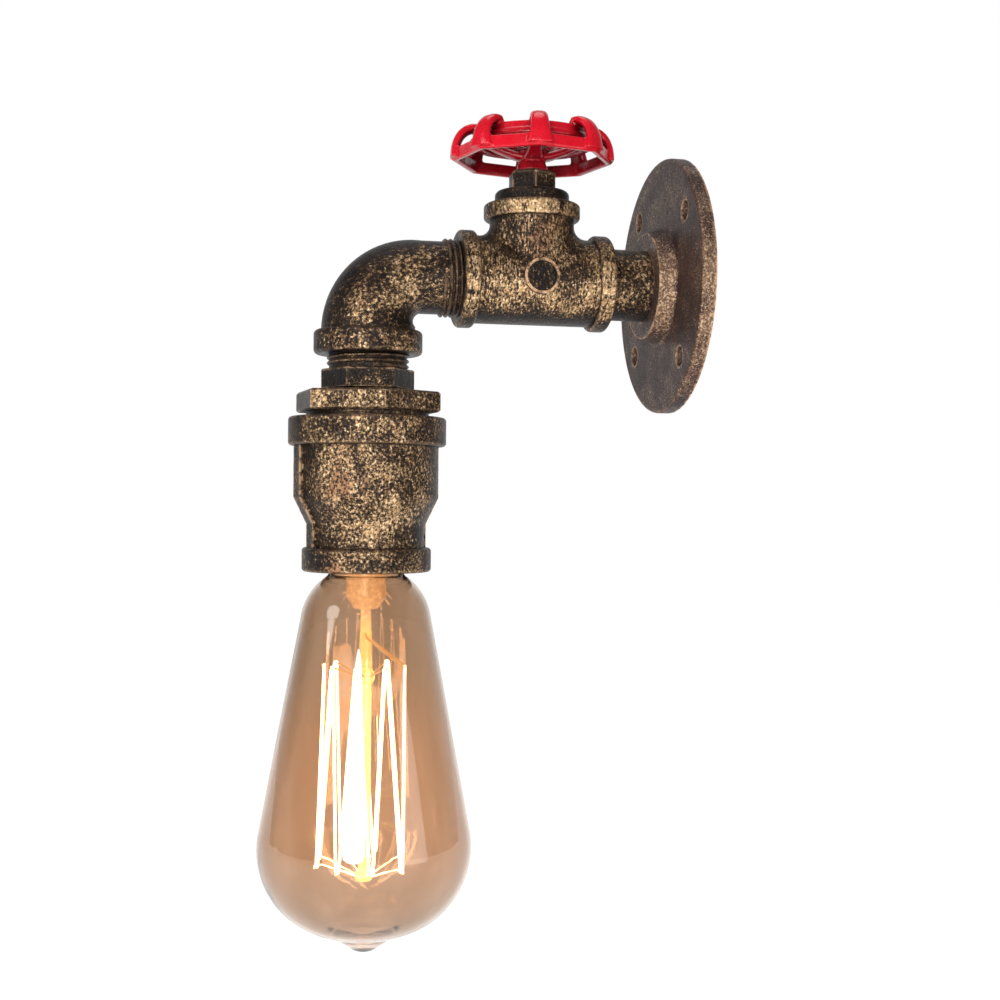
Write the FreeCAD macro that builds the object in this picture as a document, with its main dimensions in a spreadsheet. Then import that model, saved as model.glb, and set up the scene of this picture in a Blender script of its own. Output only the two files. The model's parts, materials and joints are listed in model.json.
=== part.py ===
import FreeCAD, Part
import math
import os
import Sketcher

# Pipe wall lamp, in millimetres. The wall is the plane y = 0, the pipe arm runs along -Y,
# +Z is up, and the origin is the centre of the flange's back face.

SIZES = {
    # wall flange
    "flange_dia": 90.0,
    "flange_thick": 5.0,
    "flange_edge": 1.3,
    "boss_base_dia": 40.8,
    "boss_top_dia": 37.2,
    "flange_depth": 10.9,
    "boss_foot": 1.5,
    "screw_circle": 70.0,
    "screw_hole": 7.0,
    "screw_count": 4,
    "screw_turn": 40.0,
    # arm pipe
    "pipe_dia": 25.1,
    "pipe_bore": 17.0,
    "pipe_setback": 1.0,
    "pipe_chamfer": 1.0,
    "thread_grip": 12.0,
    # tee
    "tee_reach": 51.8,
    "tee_arm": 26.7,
    "tee_run_dia": 30.4,
    "tee_branch_dia": 29.6,
    "tee_band_dia": 33.7,
    "tee_band_wide": 5.6,
    "tee_bore": 21.0,
    "tee_crotch": 4.5,
    "band_round": 1.2,
    "badge_dia": 12.3,
    "badge_rim": 0.9,
    "badge_floor": 15.5,
    "badge_proud": 0.6,
    # valve head
    "collar_dia": 26.0,
    "collar_high": 4.6,
    "collar_round": 1.6,
    "gland_flats": 15.0,
    "gland_high": 6.9,
    "gland_chamfer": 0.8,
    "bush_dia": 10.0,
    "switch_dia": 17.0,
    "switch_high": 11.0,
    "switch_wire_reach": 4.0,
    "switch_wire_depth": 3.0,
    "gland_turn": -4.8,
    "spindle_dia": 6.0,
    "spindle_flat": 2.2,
    "spindle_depth": 8.0,
    "spindle_end_dia": 4.6,
    "spindle_top": 50.9,
    "running_gap": 0.05,
    # handwheel
    "wheel_lift": 0.3,
    "wheel_dia": 58.0,
    "wheel_base": 41.6,
    "wheel_skirt": 4.0,
    "wheel_skirt_wall": 2.2,
    "wheel_ledge_rad": 25.4,
    "wheel_ledge_rise": 1.2,
    "wheel_ring_rad": 22.4,
    "wheel_ring_top": 50.3,
    "wheel_inner_rad": 18.4,
    "wheel_wall": 2.2,
    "lobe_count": 8,
    "lobe_turn": -8.5,
    "lobe_axis_rad": 18.2,
    "lobe_bulge": 10.6,
    "lobe_wide": 9.0,
    "lobe_wall": 2.2,
    "lobe_root": 5.5,
    "hub_base_dia": 12.6,
    "hub_neck_dia": 8.4,
    "hub_neck_rise": 4.0,
    "hub_top": 45.4,
    "spoke_count": 4,
    "spoke_wide": 4.6,
    "spoke_thick": 2.8,
    "spoke_high": 48.9,
    "wheel_washer_dia": 12.0,
    "wheel_washer_thick": 1.0,
    "wheel_nut_flats": 10.0,
    "wheel_nut_high": 4.0,
    # elbow
    "drop_reach": 109.1,
    "bend_radius": 17.5,
    "elbow_body_dia": 32.0,
    "elbow_band_dia": 37.1,
    "elbow_band_high": 8.2,
    "elbow_drop": 27.3,
    "elbow_bore": 17.4,
    "elbow_round": 1.5,
    # hex nipple
    "drop_thread_dia": 26.5,
    "nipple_neck": 5.0,
    "nipple_grip": 11.0,
    "nipple_flats": 27.5,
    "nipple_hex_high": 7.0,
    "nipple_bore": 19.0,
    "nipple_turn": 25.6,
    "nipple_chamfer": 0.4,
    "hex_chamfer": 0.7,
    # hex bushing
    "bushing_gap": 0.7,
    "bushing_flats": 44.5,
    "bushing_hex_high": 7.0,
    "bushing_thread_dia": 41.8,
    "bushing_thread_long": 13.3,
    "bushing_turn": 5.1,
    # reducing socket
    "socket_gap": 1.7,
    "socket_top_dia": 53.8,
    "socket_top_high": 9.8,
    "socket_body_dia": 48.4,
    "socket_body_long": 27.3,
    "socket_taper": 9.0,
    "socket_wall": 2.7,
    "socket_neck_long": 8.0,
    "socket_mouth_proud": 2.5,
    "socket_mouth_high": 8.2,
    "socket_shoulder": 26.3,
    "rib_wide": 6.0,
    "rib_proud": 1.2,
    "rib_count": 2,
    "rib_turn": -76.0,
    "taper_round": 7.0,
    # lamp holder
    "holder_gap": 0.3,
    "holder_flange_thick": 4.0,
    "holder_base_dia": 29.0,
    "holder_base_high": 4.5,
    "holder_floor": 5.0,
    "holder_recess": 3.0,
    "holder_wall": 2.8,
    "shell_play": 0.3,
    "shell_wall": 0.4,
    "shell_hole_dia": 20.0,
    "ring_high": 4.0,
    "ring_bore": 31.0,
    "ring_slot": 3.0,
    "ring_slot_deep": 1.5,
    "terminal_wide": 5.0,
    "terminal_high": 4.2,
    "terminal_pit": 2.2,
    "live_terminal": 7.0,
    "neutral_terminal": 11.5,
    "terminal_screw_dia": 2.5,
    "terminal_head_dia": 3.8,
    "terminal_head_high": 1.2,
    "rivet_dia": 2.0,
    "rivet_head_dia": 3.4,
    "rivet_grip": 1.3,
    "rivet_head_high": 0.6,
    "tongue_wide": 6.0,
    "tongue_thick": 0.5,
    "tongue_dip": 1.6,
    "tongue_tail": 9.3,
    "tongue_knee": 4.5,
    "tongue_toe": 1.5,
    "tongue_nose": 3.5,
    # bulb
    "cap_dia": 26.0,
    "cap_wall": 0.4,
    "cap_long": 24.0,
    "cap_crown": 1.6,
    "cap_rim_wide": 3.0,
    "cap_skirt_proud": 0.9,
    "cap_skirt_high": 2.0,
    "cap_skirt_slope": 1.0,
    "cap_gap": 0.25,
    "insulator_high": 2.4,
    "insulator_top_dia": 11.0,
    "button_dia": 9.4,
    "button_high": 1.2,
    "button_edge": 1.2,
    "glass_wall": 1.0,
    "glass_inset": 8.0,
    "glass_taper": 10.8,
    "shoulder_round": 20.0,
    "shoulder_drop": 18.0,
    "belly_round": 29.5,
    "belly_rad": 7.2,
    "belly_drop": 94.0,
    "neck_round": 2.5,
    "tip_base_dia": 25.0,
    "tip_neck_dia": 8.0,
    "tip_neck_rise": 1.4,
    "bulb_drop": 130.1,
    "stem_setback": 2.0,
    "stem_dia": 13.6,
    "stem_wall": 0.9,
    "stem_flare_high": 6.0,
    "stem_long": 14.5,
    "stem_cone": 4.0,
    "stem_neck_dia": 8.0,
    "pinch_wide": 7.0,
    "pinch_thick": 3.4,
    "pinch_long": 8.0,
    "rod_dia": 4.0,
    "rod_long": 81.5,
    "bead_round": 3.6,
    "bead_high": 5.2,
    "bead_drop": 12.6,
    "button_round": 1.95,
    "foot_high": 3.6,
    "hook_wire": 0.5,
    "hook_root": 2.6,
    "hook_reach": 0.9,
    "hook_bend": 0.4,
    "hook_run": 2.0,
    "hook_rise": 1.2,
    "filament_wire": 0.6,
    "filament_bend": 0.6,
    "filament_top_rad": 14.2,
    "filament_low_rad": 16.8,
    "filament_runs": 16,
    "filament_gap": 40.0,
    "filament_turn": 80.0,
    "filament_top_drop": 12.0,
    "filament_length": 66.5,
    "lead_wire": 0.7,
    "lead_spread": 2.6,
    "lead_bend": 1.5,
    "lead_run": 1.5,
    # wiring
    "wire_dia": 2.4,
    "wire_spread": 3.2,
    "wire_drop": 3.6,
    "wire_bend": 7.0,
    "wire_fan_top": 2.5,
    "wire_fan_high": 7.5,
}

PLACES = {
    "flange_rad": "sizes.flange_dia / 2",
    "boss_base_rad": "sizes.boss_base_dia / 2",
    "boss_top_rad": "sizes.boss_top_dia / 2",
    "pipe_rad": "sizes.pipe_dia / 2",
    "pipe_bore_rad": "sizes.pipe_bore / 2",
    "pipe_tip_rad": "sizes.pipe_dia / 2 - sizes.pipe_chamfer",
    "pipe_end": "sizes.tee_reach - sizes.tee_arm + sizes.thread_grip",
    "pipe_end_shoulder": "pipe_end - sizes.pipe_chamfer",
    "pipe_start_shoulder": "sizes.pipe_setback + sizes.pipe_chamfer",
    "screw_hole_rad": "sizes.screw_hole / 2",
    "screw_circle_rad": "sizes.screw_circle / 2",
    "run_rad": "sizes.tee_run_dia / 2",
    "branch_rad": "sizes.tee_branch_dia / 2",
    "tee_band_rad": "sizes.tee_band_dia / 2",
    "tee_band_foot": "sizes.tee_arm - sizes.tee_band_wide",
    "tee_bore_rad": "sizes.tee_bore / 2",
    "tee_socket_floor": "sizes.tee_arm - sizes.thread_grip",
    "badge_rad": "sizes.badge_dia / 2",
    "badge_inner_rad": "badge_rad - sizes.badge_rim",
    "badge_top": "sizes.badge_floor + sizes.badge_proud",
    "collar_rad": "sizes.collar_dia / 2",
    "collar_top": "sizes.tee_arm + sizes.collar_high",
    "gland_top": "collar_top + sizes.gland_high",
    "bush_rad": "sizes.bush_dia / 2",
    "spindle_rad": "sizes.spindle_dia / 2",
    "spindle_bore_rad": "spindle_rad + sizes.running_gap",
    "spindle_end_rad": "sizes.spindle_end_dia / 2",
    "flat_chord": "sqrt(spindle_rad ^ 2 - sizes.spindle_flat ^ 2)",
    "switch_rad": "sizes.switch_dia / 2",
    "switch_floor": "tee_socket_floor - sizes.switch_high",
    "spindle_foot": "tee_socket_floor - sizes.spindle_depth",
    "spindle_pit": "spindle_foot - sizes.running_gap",
    "wheel_rad": "sizes.wheel_dia / 2",
    "skirt_top": "sizes.wheel_base + sizes.wheel_skirt",
    "ledge_top": "skirt_top + sizes.wheel_ledge_rise",
    "skirt_inner_rad": "wheel_rad - sizes.wheel_skirt_wall",
    "ledge_inner_rad": "sizes.wheel_ledge_rad - sizes.wheel_wall * 0.7",
    "ring_inner_rad": "sizes.wheel_ring_rad - sizes.wheel_wall * 0.5",
    "skirt_under": "skirt_top - sizes.wheel_wall * 0.7",
    "ledge_under": "ledge_top - sizes.wheel_wall * 0.8",
    "ring_under": "sizes.wheel_ring_top - sizes.wheel_wall",
    "lobe_core": "sizes.lobe_bulge - sizes.lobe_wall",
    "lobe_half": "sizes.lobe_wide / 2",
    "lobe_core_half": "lobe_half - sizes.lobe_wall",
    "lobe_cheek": "sizes.lobe_bulge - lobe_half",
    "lobe_core_cheek": "lobe_core - lobe_core_half",
    "hub_base": "gland_top + sizes.wheel_lift",
    "hub_base_rad": "sizes.hub_base_dia / 2",
    "hub_neck_rad": "sizes.hub_neck_dia / 2",
    "hub_neck_height": "hub_base + sizes.hub_neck_rise",
    "spoke_low": "sizes.hub_top - sizes.spoke_thick",
    "spoke_high_under": "sizes.spoke_high - sizes.spoke_thick",
    "wheel_washer_rad": "sizes.wheel_washer_dia / 2",
    "wheel_washer_top": "sizes.hub_top + sizes.wheel_washer_thick",
    "leg_end": "sizes.drop_reach - sizes.tee_reach - sizes.tee_arm + sizes.thread_grip",
    "leg_shoulder": "leg_end - sizes.pipe_chamfer",
    "elbow_body_rad": "sizes.elbow_body_dia / 2",
    "elbow_band_rad": "sizes.elbow_band_dia / 2",
    "elbow_bore_rad": "sizes.elbow_bore / 2",
    "bend_foot": "-sizes.bend_radius",
    "elbow_face": "-sizes.elbow_drop",
    "elbow_band_top": "elbow_face + sizes.elbow_band_high",
    "elbow_socket_floor": "elbow_face + sizes.nipple_grip",
    "drop_thread_rad": "sizes.drop_thread_dia / 2",
    "drop_thread_tip_rad": "drop_thread_rad - sizes.pipe_chamfer",
    "nipple_bore_rad": "sizes.nipple_bore / 2",
    "nipple_tip_shoulder": "elbow_socket_floor - sizes.pipe_chamfer",
    "nipple_hex_top": "elbow_face - sizes.nipple_neck",
    "nipple_hex_base": "nipple_hex_top - sizes.nipple_hex_high",
    "bushing_top": "nipple_hex_base - sizes.bushing_gap",
    "nipple_foot": "bushing_top - sizes.nipple_grip",
    "nipple_foot_shoulder": "nipple_foot + sizes.pipe_chamfer",
    "bushing_hex_base": "bushing_top - sizes.bushing_hex_high",
    "bushing_thread_rad": "sizes.bushing_thread_dia / 2",
    "bushing_foot": "bushing_hex_base - sizes.bushing_thread_long",
    "cap_rad": "sizes.cap_dia / 2",
    "shell_rad": "cap_rad + sizes.shell_play + sizes.shell_wall",
    "holder_barrel_rad": "shell_rad + sizes.holder_wall",
    "socket_mouth_bore_rad": "holder_barrel_rad + sizes.holder_gap",
    "socket_neck_rad": "socket_mouth_bore_rad + sizes.socket_wall",
    "socket_mouth_rad": "socket_neck_rad + sizes.socket_mouth_proud",
    "socket_top": "bushing_hex_base - sizes.socket_gap",
    "socket_top_rad": "sizes.socket_top_dia / 2",
    "socket_top_foot": "socket_top - sizes.socket_top_high",
    "socket_body_rad": "sizes.socket_body_dia / 2",
    "socket_taper_top": "socket_top - sizes.socket_body_long",
    "socket_taper_foot": "socket_taper_top - sizes.socket_taper",
    "socket_mouth_top": "socket_taper_foot - sizes.socket_neck_long",
    "socket_mouth": "socket_mouth_top - sizes.socket_mouth_high",
    "holder_seat": "socket_top - sizes.socket_shoulder",
    "rib_body_rad": "socket_body_rad + sizes.rib_proud",
    "rib_neck_rad": "socket_neck_rad + sizes.rib_proud",
    "rib_body_root": "socket_body_rad - 1",
    "rib_neck_root": "socket_neck_rad - 1",
    "holder_flange_rad": "bushing_thread_rad - sizes.holder_gap",
    "holder_flange_top": "holder_seat + sizes.holder_flange_thick",
    "holder_mouth": "socket_mouth + sizes.holder_recess",
    "holder_base_rad": "sizes.holder_base_dia / 2",
    "holder_top": "holder_flange_top + sizes.holder_base_high",
    "holder_floor_level": "holder_top - sizes.holder_floor",
    "shell_inner_rad": "shell_rad - sizes.shell_wall",
    "shell_hole_rad": "sizes.shell_hole_dia / 2",
    "shell_under": "holder_floor_level - sizes.shell_wall",
    "ring_bore_rad": "sizes.ring_bore / 2",
    "ring_top": "holder_flange_top + sizes.ring_high",
    "slot_half": "sizes.ring_slot / 2",
    "rivet_rad": "sizes.rivet_dia / 2",
    "rivet_head_rad": "sizes.rivet_head_dia / 2",
    "lead_rad": "sizes.lead_wire / 2",
    "pinch_half": "sizes.pinch_wide / 2",
    "tongue_under": "holder_floor_level - sizes.tongue_thick",
    "tongue_dip_top": "holder_floor_level - sizes.tongue_dip",
    "tongue_low": "tongue_dip_top - sizes.tongue_thick",
    "tongue_knee_under": "sizes.tongue_knee - sizes.tongue_thick / 2",
    "tongue_toe_under": "sizes.tongue_toe - sizes.tongue_thick / 2",
    "terminal_top": "holder_top + sizes.terminal_high",
    "button_top": "tongue_low - sizes.cap_gap",
    "button_top_rad": "sizes.button_dia / 2 - sizes.button_edge",
    "button_rad": "sizes.button_dia / 2",
    "insulator_top": "button_top - sizes.button_high",
    "insulator_top_rad": "sizes.insulator_top_dia / 2",
    "cap_top": "insulator_top - sizes.insulator_high",
    "cap_inner_rad": "cap_rad - sizes.cap_wall",
    "cap_under": "cap_top - sizes.cap_wall",
    "cap_crown_rad": "cap_rad - sizes.cap_crown",
    "cap_hole_rad": "cap_crown_rad - sizes.cap_rim_wide",
    "cap_crown_foot": "cap_top - sizes.cap_crown",
    "cap_skirt_rad": "cap_rad + sizes.cap_skirt_proud",
    "cap_skirt_inner_rad": "cap_skirt_rad - sizes.cap_wall",
    "cap_rim": "cap_top - sizes.cap_long",
    "cap_skirt_top": "cap_rim + sizes.cap_skirt_high",
    "cap_skirt_shoulder": "cap_skirt_top + sizes.cap_skirt_slope",
    "glass_neck_rad": "cap_inner_rad",
    "glass_neck_inner_rad": "glass_neck_rad - sizes.glass_wall",
    "glass_top": "cap_rim + sizes.glass_inset",
    "shoulder_z": "cap_rim - sizes.shoulder_drop",
    "belly_z": "cap_rim - sizes.belly_drop",
    "shoulder_x": "sizes.belly_rad + (sizes.belly_round - sizes.shoulder_round"
                  " - (shoulder_z - belly_z) * sin(sizes.glass_taper)) / cos(sizes.glass_taper)",
    "shoulder_inner_round": "sizes.shoulder_round - sizes.glass_wall",
    "belly_inner_round": "sizes.belly_round - sizes.glass_wall",
    "neck_meet_z": "shoulder_z + sqrt(sizes.shoulder_round ^ 2 - (glass_neck_rad - shoulder_x) ^ 2)",
    "neck_meet_inner_z": "shoulder_z + sqrt(shoulder_inner_round ^ 2"
                         " - (glass_neck_inner_rad - shoulder_x) ^ 2)",
    "slope_top_x": "shoulder_x + sizes.shoulder_round * cos(sizes.glass_taper)",
    "slope_top_z": "shoulder_z + sizes.shoulder_round * sin(sizes.glass_taper)",
    "slope_low_x": "sizes.belly_rad + sizes.belly_round * cos(sizes.glass_taper)",
    "slope_low_z": "belly_z + sizes.belly_round * sin(sizes.glass_taper)",
    "slope_top_inner_x": "shoulder_x + shoulder_inner_round * cos(sizes.glass_taper)",
    "slope_top_inner_z": "shoulder_z + shoulder_inner_round * sin(sizes.glass_taper)",
    "slope_low_inner_x": "sizes.belly_rad + belly_inner_round * cos(sizes.glass_taper)",
    "slope_low_inner_z": "belly_z + belly_inner_round * sin(sizes.glass_taper)",
    "tip_base_rad": "sizes.tip_base_dia / 2",
    "tip_base_z": "belly_z - sqrt(sizes.belly_round ^ 2 - (tip_base_rad - sizes.belly_rad) ^ 2)",
    "tip_neck_rad": "sizes.tip_neck_dia / 2",
    "bulb_tip": "cap_rim - sizes.bulb_drop",
    "tip_neck_z": "bulb_tip + sizes.tip_neck_rise",
    "belly_floor": "belly_z - sqrt(belly_inner_round ^ 2 - sizes.belly_rad ^ 2)",
    "stem_rad": "sizes.stem_dia / 2",
    "stem_inner_rad": "stem_rad - sizes.stem_wall",
    "stem_flare_inner_rad": "glass_neck_inner_rad - sizes.stem_wall",
    "stem_top": "glass_top - sizes.stem_setback",
    "stem_flare_foot": "stem_top - sizes.stem_flare_high",
    "stem_foot": "stem_top - sizes.stem_long",
    "stem_neck_rad": "sizes.stem_neck_dia / 2",
    "stem_neck_inner_rad": "stem_neck_rad - sizes.stem_wall",
    "pinch_top": "stem_foot - sizes.stem_cone",
    "pinch_foot": "pinch_top - sizes.pinch_long",
    "rod_rad": "sizes.rod_dia / 2",
    "bead_top": "pinch_foot - sizes.bead_drop",
    "bead_foot": "bead_top - sizes.bead_high",
    "bead_middle": "(bead_top + bead_foot) / 2",
    "foot_top": "pinch_foot - sizes.rod_long",
    "rod_foot": "foot_top - sizes.foot_high",
    "foot_middle": "(foot_top + rod_foot) / 2",
    "filament_top": "pinch_foot - sizes.filament_top_drop",
    "filament_foot": "filament_top - sizes.filament_length",
    "wire_rad": "sizes.wire_dia / 2",
}

doc = FreeCAD.newDocument("pipe_wall_lamp")
subparts = []


def write_sheet(name, cells, prefix):
    """A spreadsheet with one named cell a row: the name in column A and its cell in column B."""
    sheet = doc.addObject("Spreadsheet::Sheet", name)
    for row, (alias, content) in enumerate(cells.items(), start=1):
        sheet.set(f"A{row}", alias)
        sheet.set(f"B{row}", prefix + str(content))
        sheet.setAlias(f"B{row}", alias)
    return sheet


sizes = write_sheet("sizes", SIZES, "")
places = write_sheet("places", PLACES, "=")
doc.recompute()


def cell(name):
    """The expression that reads a named size or place, with a leading minus kept."""
    sign = "-" if name.startswith("-") else ""
    bare = name.lstrip("-")
    return sign + ("sizes." if bare in SIZES else "places.") + bare


def number(name):
    """The value of a named size or place in mm, or in degrees for an angle."""
    if name == 0:
        return 0.0
    sign = -1.0 if name.startswith("-") else 1.0
    bare = name.lstrip("-")
    sheet = sizes if bare in SIZES else places
    return sign * float(sheet.get(bare))


def new_body(label):
    """An empty body that is one of the lamp's pieces."""
    body = doc.addObject("PartDesign::Body", label)
    body.Label = label
    subparts.append(body)
    return body


def new_shape(label, shape):
    """A piece whose solid is worked out from the sheets."""
    piece = doc.addObject("Part::Feature", label)
    piece.Label = label
    piece.Shape = shape
    subparts.append(piece)
    return piece


def put(piece, reach="", rise="", turn="", lie_down=False):
    """Place a piece reach out from the wall and rise up, turned about its own Z axis.

    A piece that lies down has its own Z axis pointing out from the wall.
    """
    rotation = FreeCAD.Rotation(FreeCAD.Vector(0, 0, 1), number(turn) if turn else 0)
    if lie_down:
        rotation = FreeCAD.Rotation(FreeCAD.Vector(1, 0, 0), 90).multiply(rotation)
    piece.Placement = FreeCAD.Placement(FreeCAD.Vector(0, 0, 0), rotation)
    if reach:
        piece.setExpression("Placement.Base.y", "-" + cell(reach))
    if rise:
        piece.setExpression("Placement.Base.z", cell(rise))


def plane_of(body, role):
    """One of a body's own origin planes."""
    return next(item for item in body.Origin.OriginFeatures if item.Role == role)


def new_sketch(body, plane, offset=0):
    """An empty sketch on one of the body's origin planes, or at a named distance from it."""
    sketch = body.newObject("Sketcher::SketchObject", "sketch")
    sketch.AttachmentSupport = (plane_of(body, plane), [""])
    sketch.MapMode = "FlatFace"
    if offset:
        sketch.setExpression("AttachmentOffset.Base.z", cell(offset))
    return sketch


def fix_point(sketch, edge, end, across, up):
    """Hold one end of a sketch edge at two named coordinates."""
    for kind, name, axis in (("DistanceX", across, -2), ("DistanceY", up, -1)):
        if name == 0:
            sketch.addConstraint(Sketcher.Constraint("PointOnObject", edge, end, axis))
        else:
            item = sketch.addConstraint(Sketcher.Constraint(kind, -1, 1, edge, end, number(name)))
            sketch.setExpression(f"Constraints[{item}]", cell(name))


def arc_through(start, end, radius, side):
    """The short arc from start to end, bulging to the left (side 1) or right (side -1).

    The second value is true where the arc, which always runs counter-clockwise, starts at end.
    """
    middle = (start + end) * 0.5
    chord = end - start
    left = FreeCAD.Vector(-chord.y, chord.x, 0).normalize()
    away = math.sqrt(radius ** 2 - (chord.Length / 2) ** 2)
    centre = middle - left * (side * away)
    circle = Part.Circle(centre, FreeCAD.Vector(0, 0, 1), radius)
    first, last = (start, end) if side < 0 else (end, start)
    arc = Part.ArcOfCircle(circle, circle.parameter(first), circle.parameter(last))
    return arc, side > 0


def outline(body, plane, corners, arcs=None, offset=0):
    """A closed sketch through corners, each a pair of named coordinates.

    arcs gives (named radius, side) for a stretch that starts at that corner. An upright half
    circle is held by its centre, because its radius already follows from its ends.
    """
    arcs = arcs or {}
    sketch = new_sketch(body, plane, offset)
    points = [FreeCAD.Vector(number(across), number(up), 0) for across, up in corners]
    ends = []
    for index, start in enumerate(points):
        end = points[(index + 1) % len(points)]
        if index in arcs:
            radius, side = arcs[index]
            arc, turned_round = arc_through(start, end, number(radius), side)
            sketch.addGeometry(arc)
            ends.append((2, 1) if turned_round else (1, 2))
        else:
            sketch.addGeometry(Part.LineSegment(start, end))
            ends.append((1, 2))
    for index in range(len(points)):
        after = (index + 1) % len(points)
        sketch.addConstraint(
            Sketcher.Constraint("Coincident", index, ends[index][1], after, ends[after][0]))
    for index, (across, up) in enumerate(corners):
        fix_point(sketch, index, ends[index][0], across, up)
    for index, (radius, side) in arcs.items():
        span = (points[(index + 1) % len(points)] - points[index]).Length
        if abs(span - 2 * number(radius)) < 0.001:
            across = corners[index][0]
            fixed = Sketcher.Constraint("DistanceX", -1, 1, index, 3, number(across))
        else:
            across = radius
            fixed = Sketcher.Constraint("Radius", index, number(radius))
        sketch.setExpression(f"Constraints[{sketch.addConstraint(fixed)}]", cell(across))
    return sketch


def circle_sketch(body, plane, radius, offset=0, across=0, up=0):
    """A sketch of one circle with a named radius and centre."""
    sketch = new_sketch(body, plane, offset)
    centre = FreeCAD.Vector(number(across), number(up), 0)
    sketch.addGeometry(Part.Circle(centre, FreeCAD.Vector(0, 0, 1), number(radius)))
    fix_point(sketch, 0, 3, across, up)
    item = sketch.addConstraint(Sketcher.Constraint("Radius", 0, number(radius)))
    sketch.setExpression(f"Constraints[{item}]", cell(radius))
    return sketch


def hexagon_sketch(body, flats, offset=0):
    """A sketch of a hexagon, given across its flats, with one corner on the X axis."""
    sketch = new_sketch(body, "XY_Plane", offset)
    across_corners = f"{cell(flats)} / cos(30)"
    radius = number(flats) / 2 / math.cos(math.radians(30))
    corners = [FreeCAD.Vector(radius * math.cos(math.radians(60 * index)),
                              radius * math.sin(math.radians(60 * index)), 0) for index in range(6)]
    for index, corner in enumerate(corners):
        sketch.addGeometry(Part.LineSegment(corner, corners[(index + 1) % 6]))
    ring = sketch.addGeometry(
        Part.Circle(FreeCAD.Vector(0, 0, 0), FreeCAD.Vector(0, 0, 1), radius), True)
    sketch.addConstraint(Sketcher.Constraint("Coincident", ring, 3, -1, 1))
    item = sketch.addConstraint(Sketcher.Constraint("Diameter", ring, 2 * radius))
    sketch.setExpression(f"Constraints[{item}]", across_corners)
    for index in range(6):
        sketch.addConstraint(Sketcher.Constraint("Coincident", index, 2, (index + 1) % 6, 1))
        sketch.addConstraint(Sketcher.Constraint("PointOnObject", index, 1, ring))
        if index:
            sketch.addConstraint(Sketcher.Constraint("Equal", 0, index))
    sketch.addConstraint(Sketcher.Constraint("PointOnObject", 0, 1, -1))
    return sketch


def turn(body, sketch, axis="V_Axis", cut=False, angle=360):
    """Revolve a sketch about one of its own axes, as a solid or as a groove."""
    kind = "PartDesign::Groove" if cut else "PartDesign::Revolution"
    feature = body.newObject(kind, "turning")
    feature.Profile = sketch
    feature.ReferenceAxis = (sketch, [axis])
    feature.Angle = angle
    return feature


def extrude(body, sketch, length="", cut=False, reversed_way=False, midplane=False):
    """Pad or pocket a sketch by a named length, or right through where no length is given."""
    feature = body.newObject("PartDesign::Pocket" if cut else "PartDesign::Pad", "extrusion")
    feature.Profile = sketch
    feature.Reversed = reversed_way
    feature.SideType = "Symmetric" if midplane else "One side"
    if length:
        feature.setExpression("Length", cell(length))
    else:
        feature.Type = "ThroughAll"
    return feature


def repeat(body, features, count, sketch):
    """Repeat features evenly about the normal through a sketch's origin."""
    pattern = body.newObject("PartDesign::PolarPattern", "pattern")
    pattern.Originals = features
    pattern.Axis = (sketch, ["N_Axis"])
    pattern.Angle = 360
    pattern.setExpression("Occurrences", cell(count))
    body.Tip = pattern
    return pattern


def ring_edges(shape, radius, level, axis="z"):
    """Names of the full-circle edges of a named radius at a named level along an axis."""
    names = []
    for index, edge in enumerate(shape.Edges, start=1):
        if edge.Degenerated or not isinstance(edge.Curve, Part.Circle):
            continue
        same_radius = abs(edge.Curve.Radius - number(radius)) < 0.01
        same_level = abs(getattr(edge.Curve.Center, axis) - number(level)) < 0.01
        if same_radius and same_level:
            names.append(f"Edge{index}")
    return names


def round_edges(body, names, radius, chamfer=False):
    """Fillet or chamfer named edges of the body's last feature by a named size."""
    base = body.Tip
    kind = "PartDesign::Chamfer" if chamfer else "PartDesign::Fillet"
    feature = body.newObject(kind, "edge_finish")
    feature.Base = (base, names)
    feature.setExpression("Size" if chamfer else "Radius", cell(radius))
    doc.recompute()
    return feature


def round_rings(body, rings, radius, axis="z", chamfer=False):
    """Fillet or chamfer circular edges, each given by its named radius and level."""
    doc.recompute()
    names = []
    for ring in rings:
        names += ring_edges(body.Tip.Shape, ring[0], ring[1], axis)
    return round_edges(body, names, radius, chamfer)


def turned_piece(label, corners, arcs=None):
    """A piece that is one revolved outline of (radius, height) corners."""
    body = new_body(label)
    turn(body, outline(body, "XZ_Plane", corners, arcs))
    return body


def make_wall_flange():
    """Cast floor flange: round plate with a tapered boss, a threaded bore and four screw holes."""
    flange = turned_piece("wall_flange", [
        ("pipe_rad", 0), ("flange_rad", 0), ("flange_rad", "flange_thick"),
        ("boss_base_rad", "flange_thick"), ("boss_top_rad", "flange_depth"),
        ("pipe_rad", "flange_depth")])
    hole_sketch = circle_sketch(flange, "XY_Plane", "screw_hole_rad", across="screw_circle_rad")
    hole = extrude(flange, hole_sketch, cut=True, reversed_way=True)
    repeat(flange, [hole], "screw_count", hole_sketch)
    round_rings(flange, [("flange_rad", "flange_thick")], "flange_edge")
    round_rings(flange, [("boss_base_rad", "flange_thick")], "boss_foot")
    put(flange, turn="screw_turn", lie_down=True)


def make_flange_nipple():
    """Pipe nipple that joins the flange to the tee, chamfered at both ends."""
    nipple = turned_piece("flange_nipple", [
        ("pipe_bore_rad", "pipe_setback"), ("pipe_tip_rad", "pipe_setback"),
        ("pipe_rad", "pipe_start_shoulder"), ("pipe_rad", "pipe_end_shoulder"),
        ("pipe_tip_rad", "pipe_end"), ("pipe_bore_rad", "pipe_end")])
    put(nipple, lie_down=True)


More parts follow.
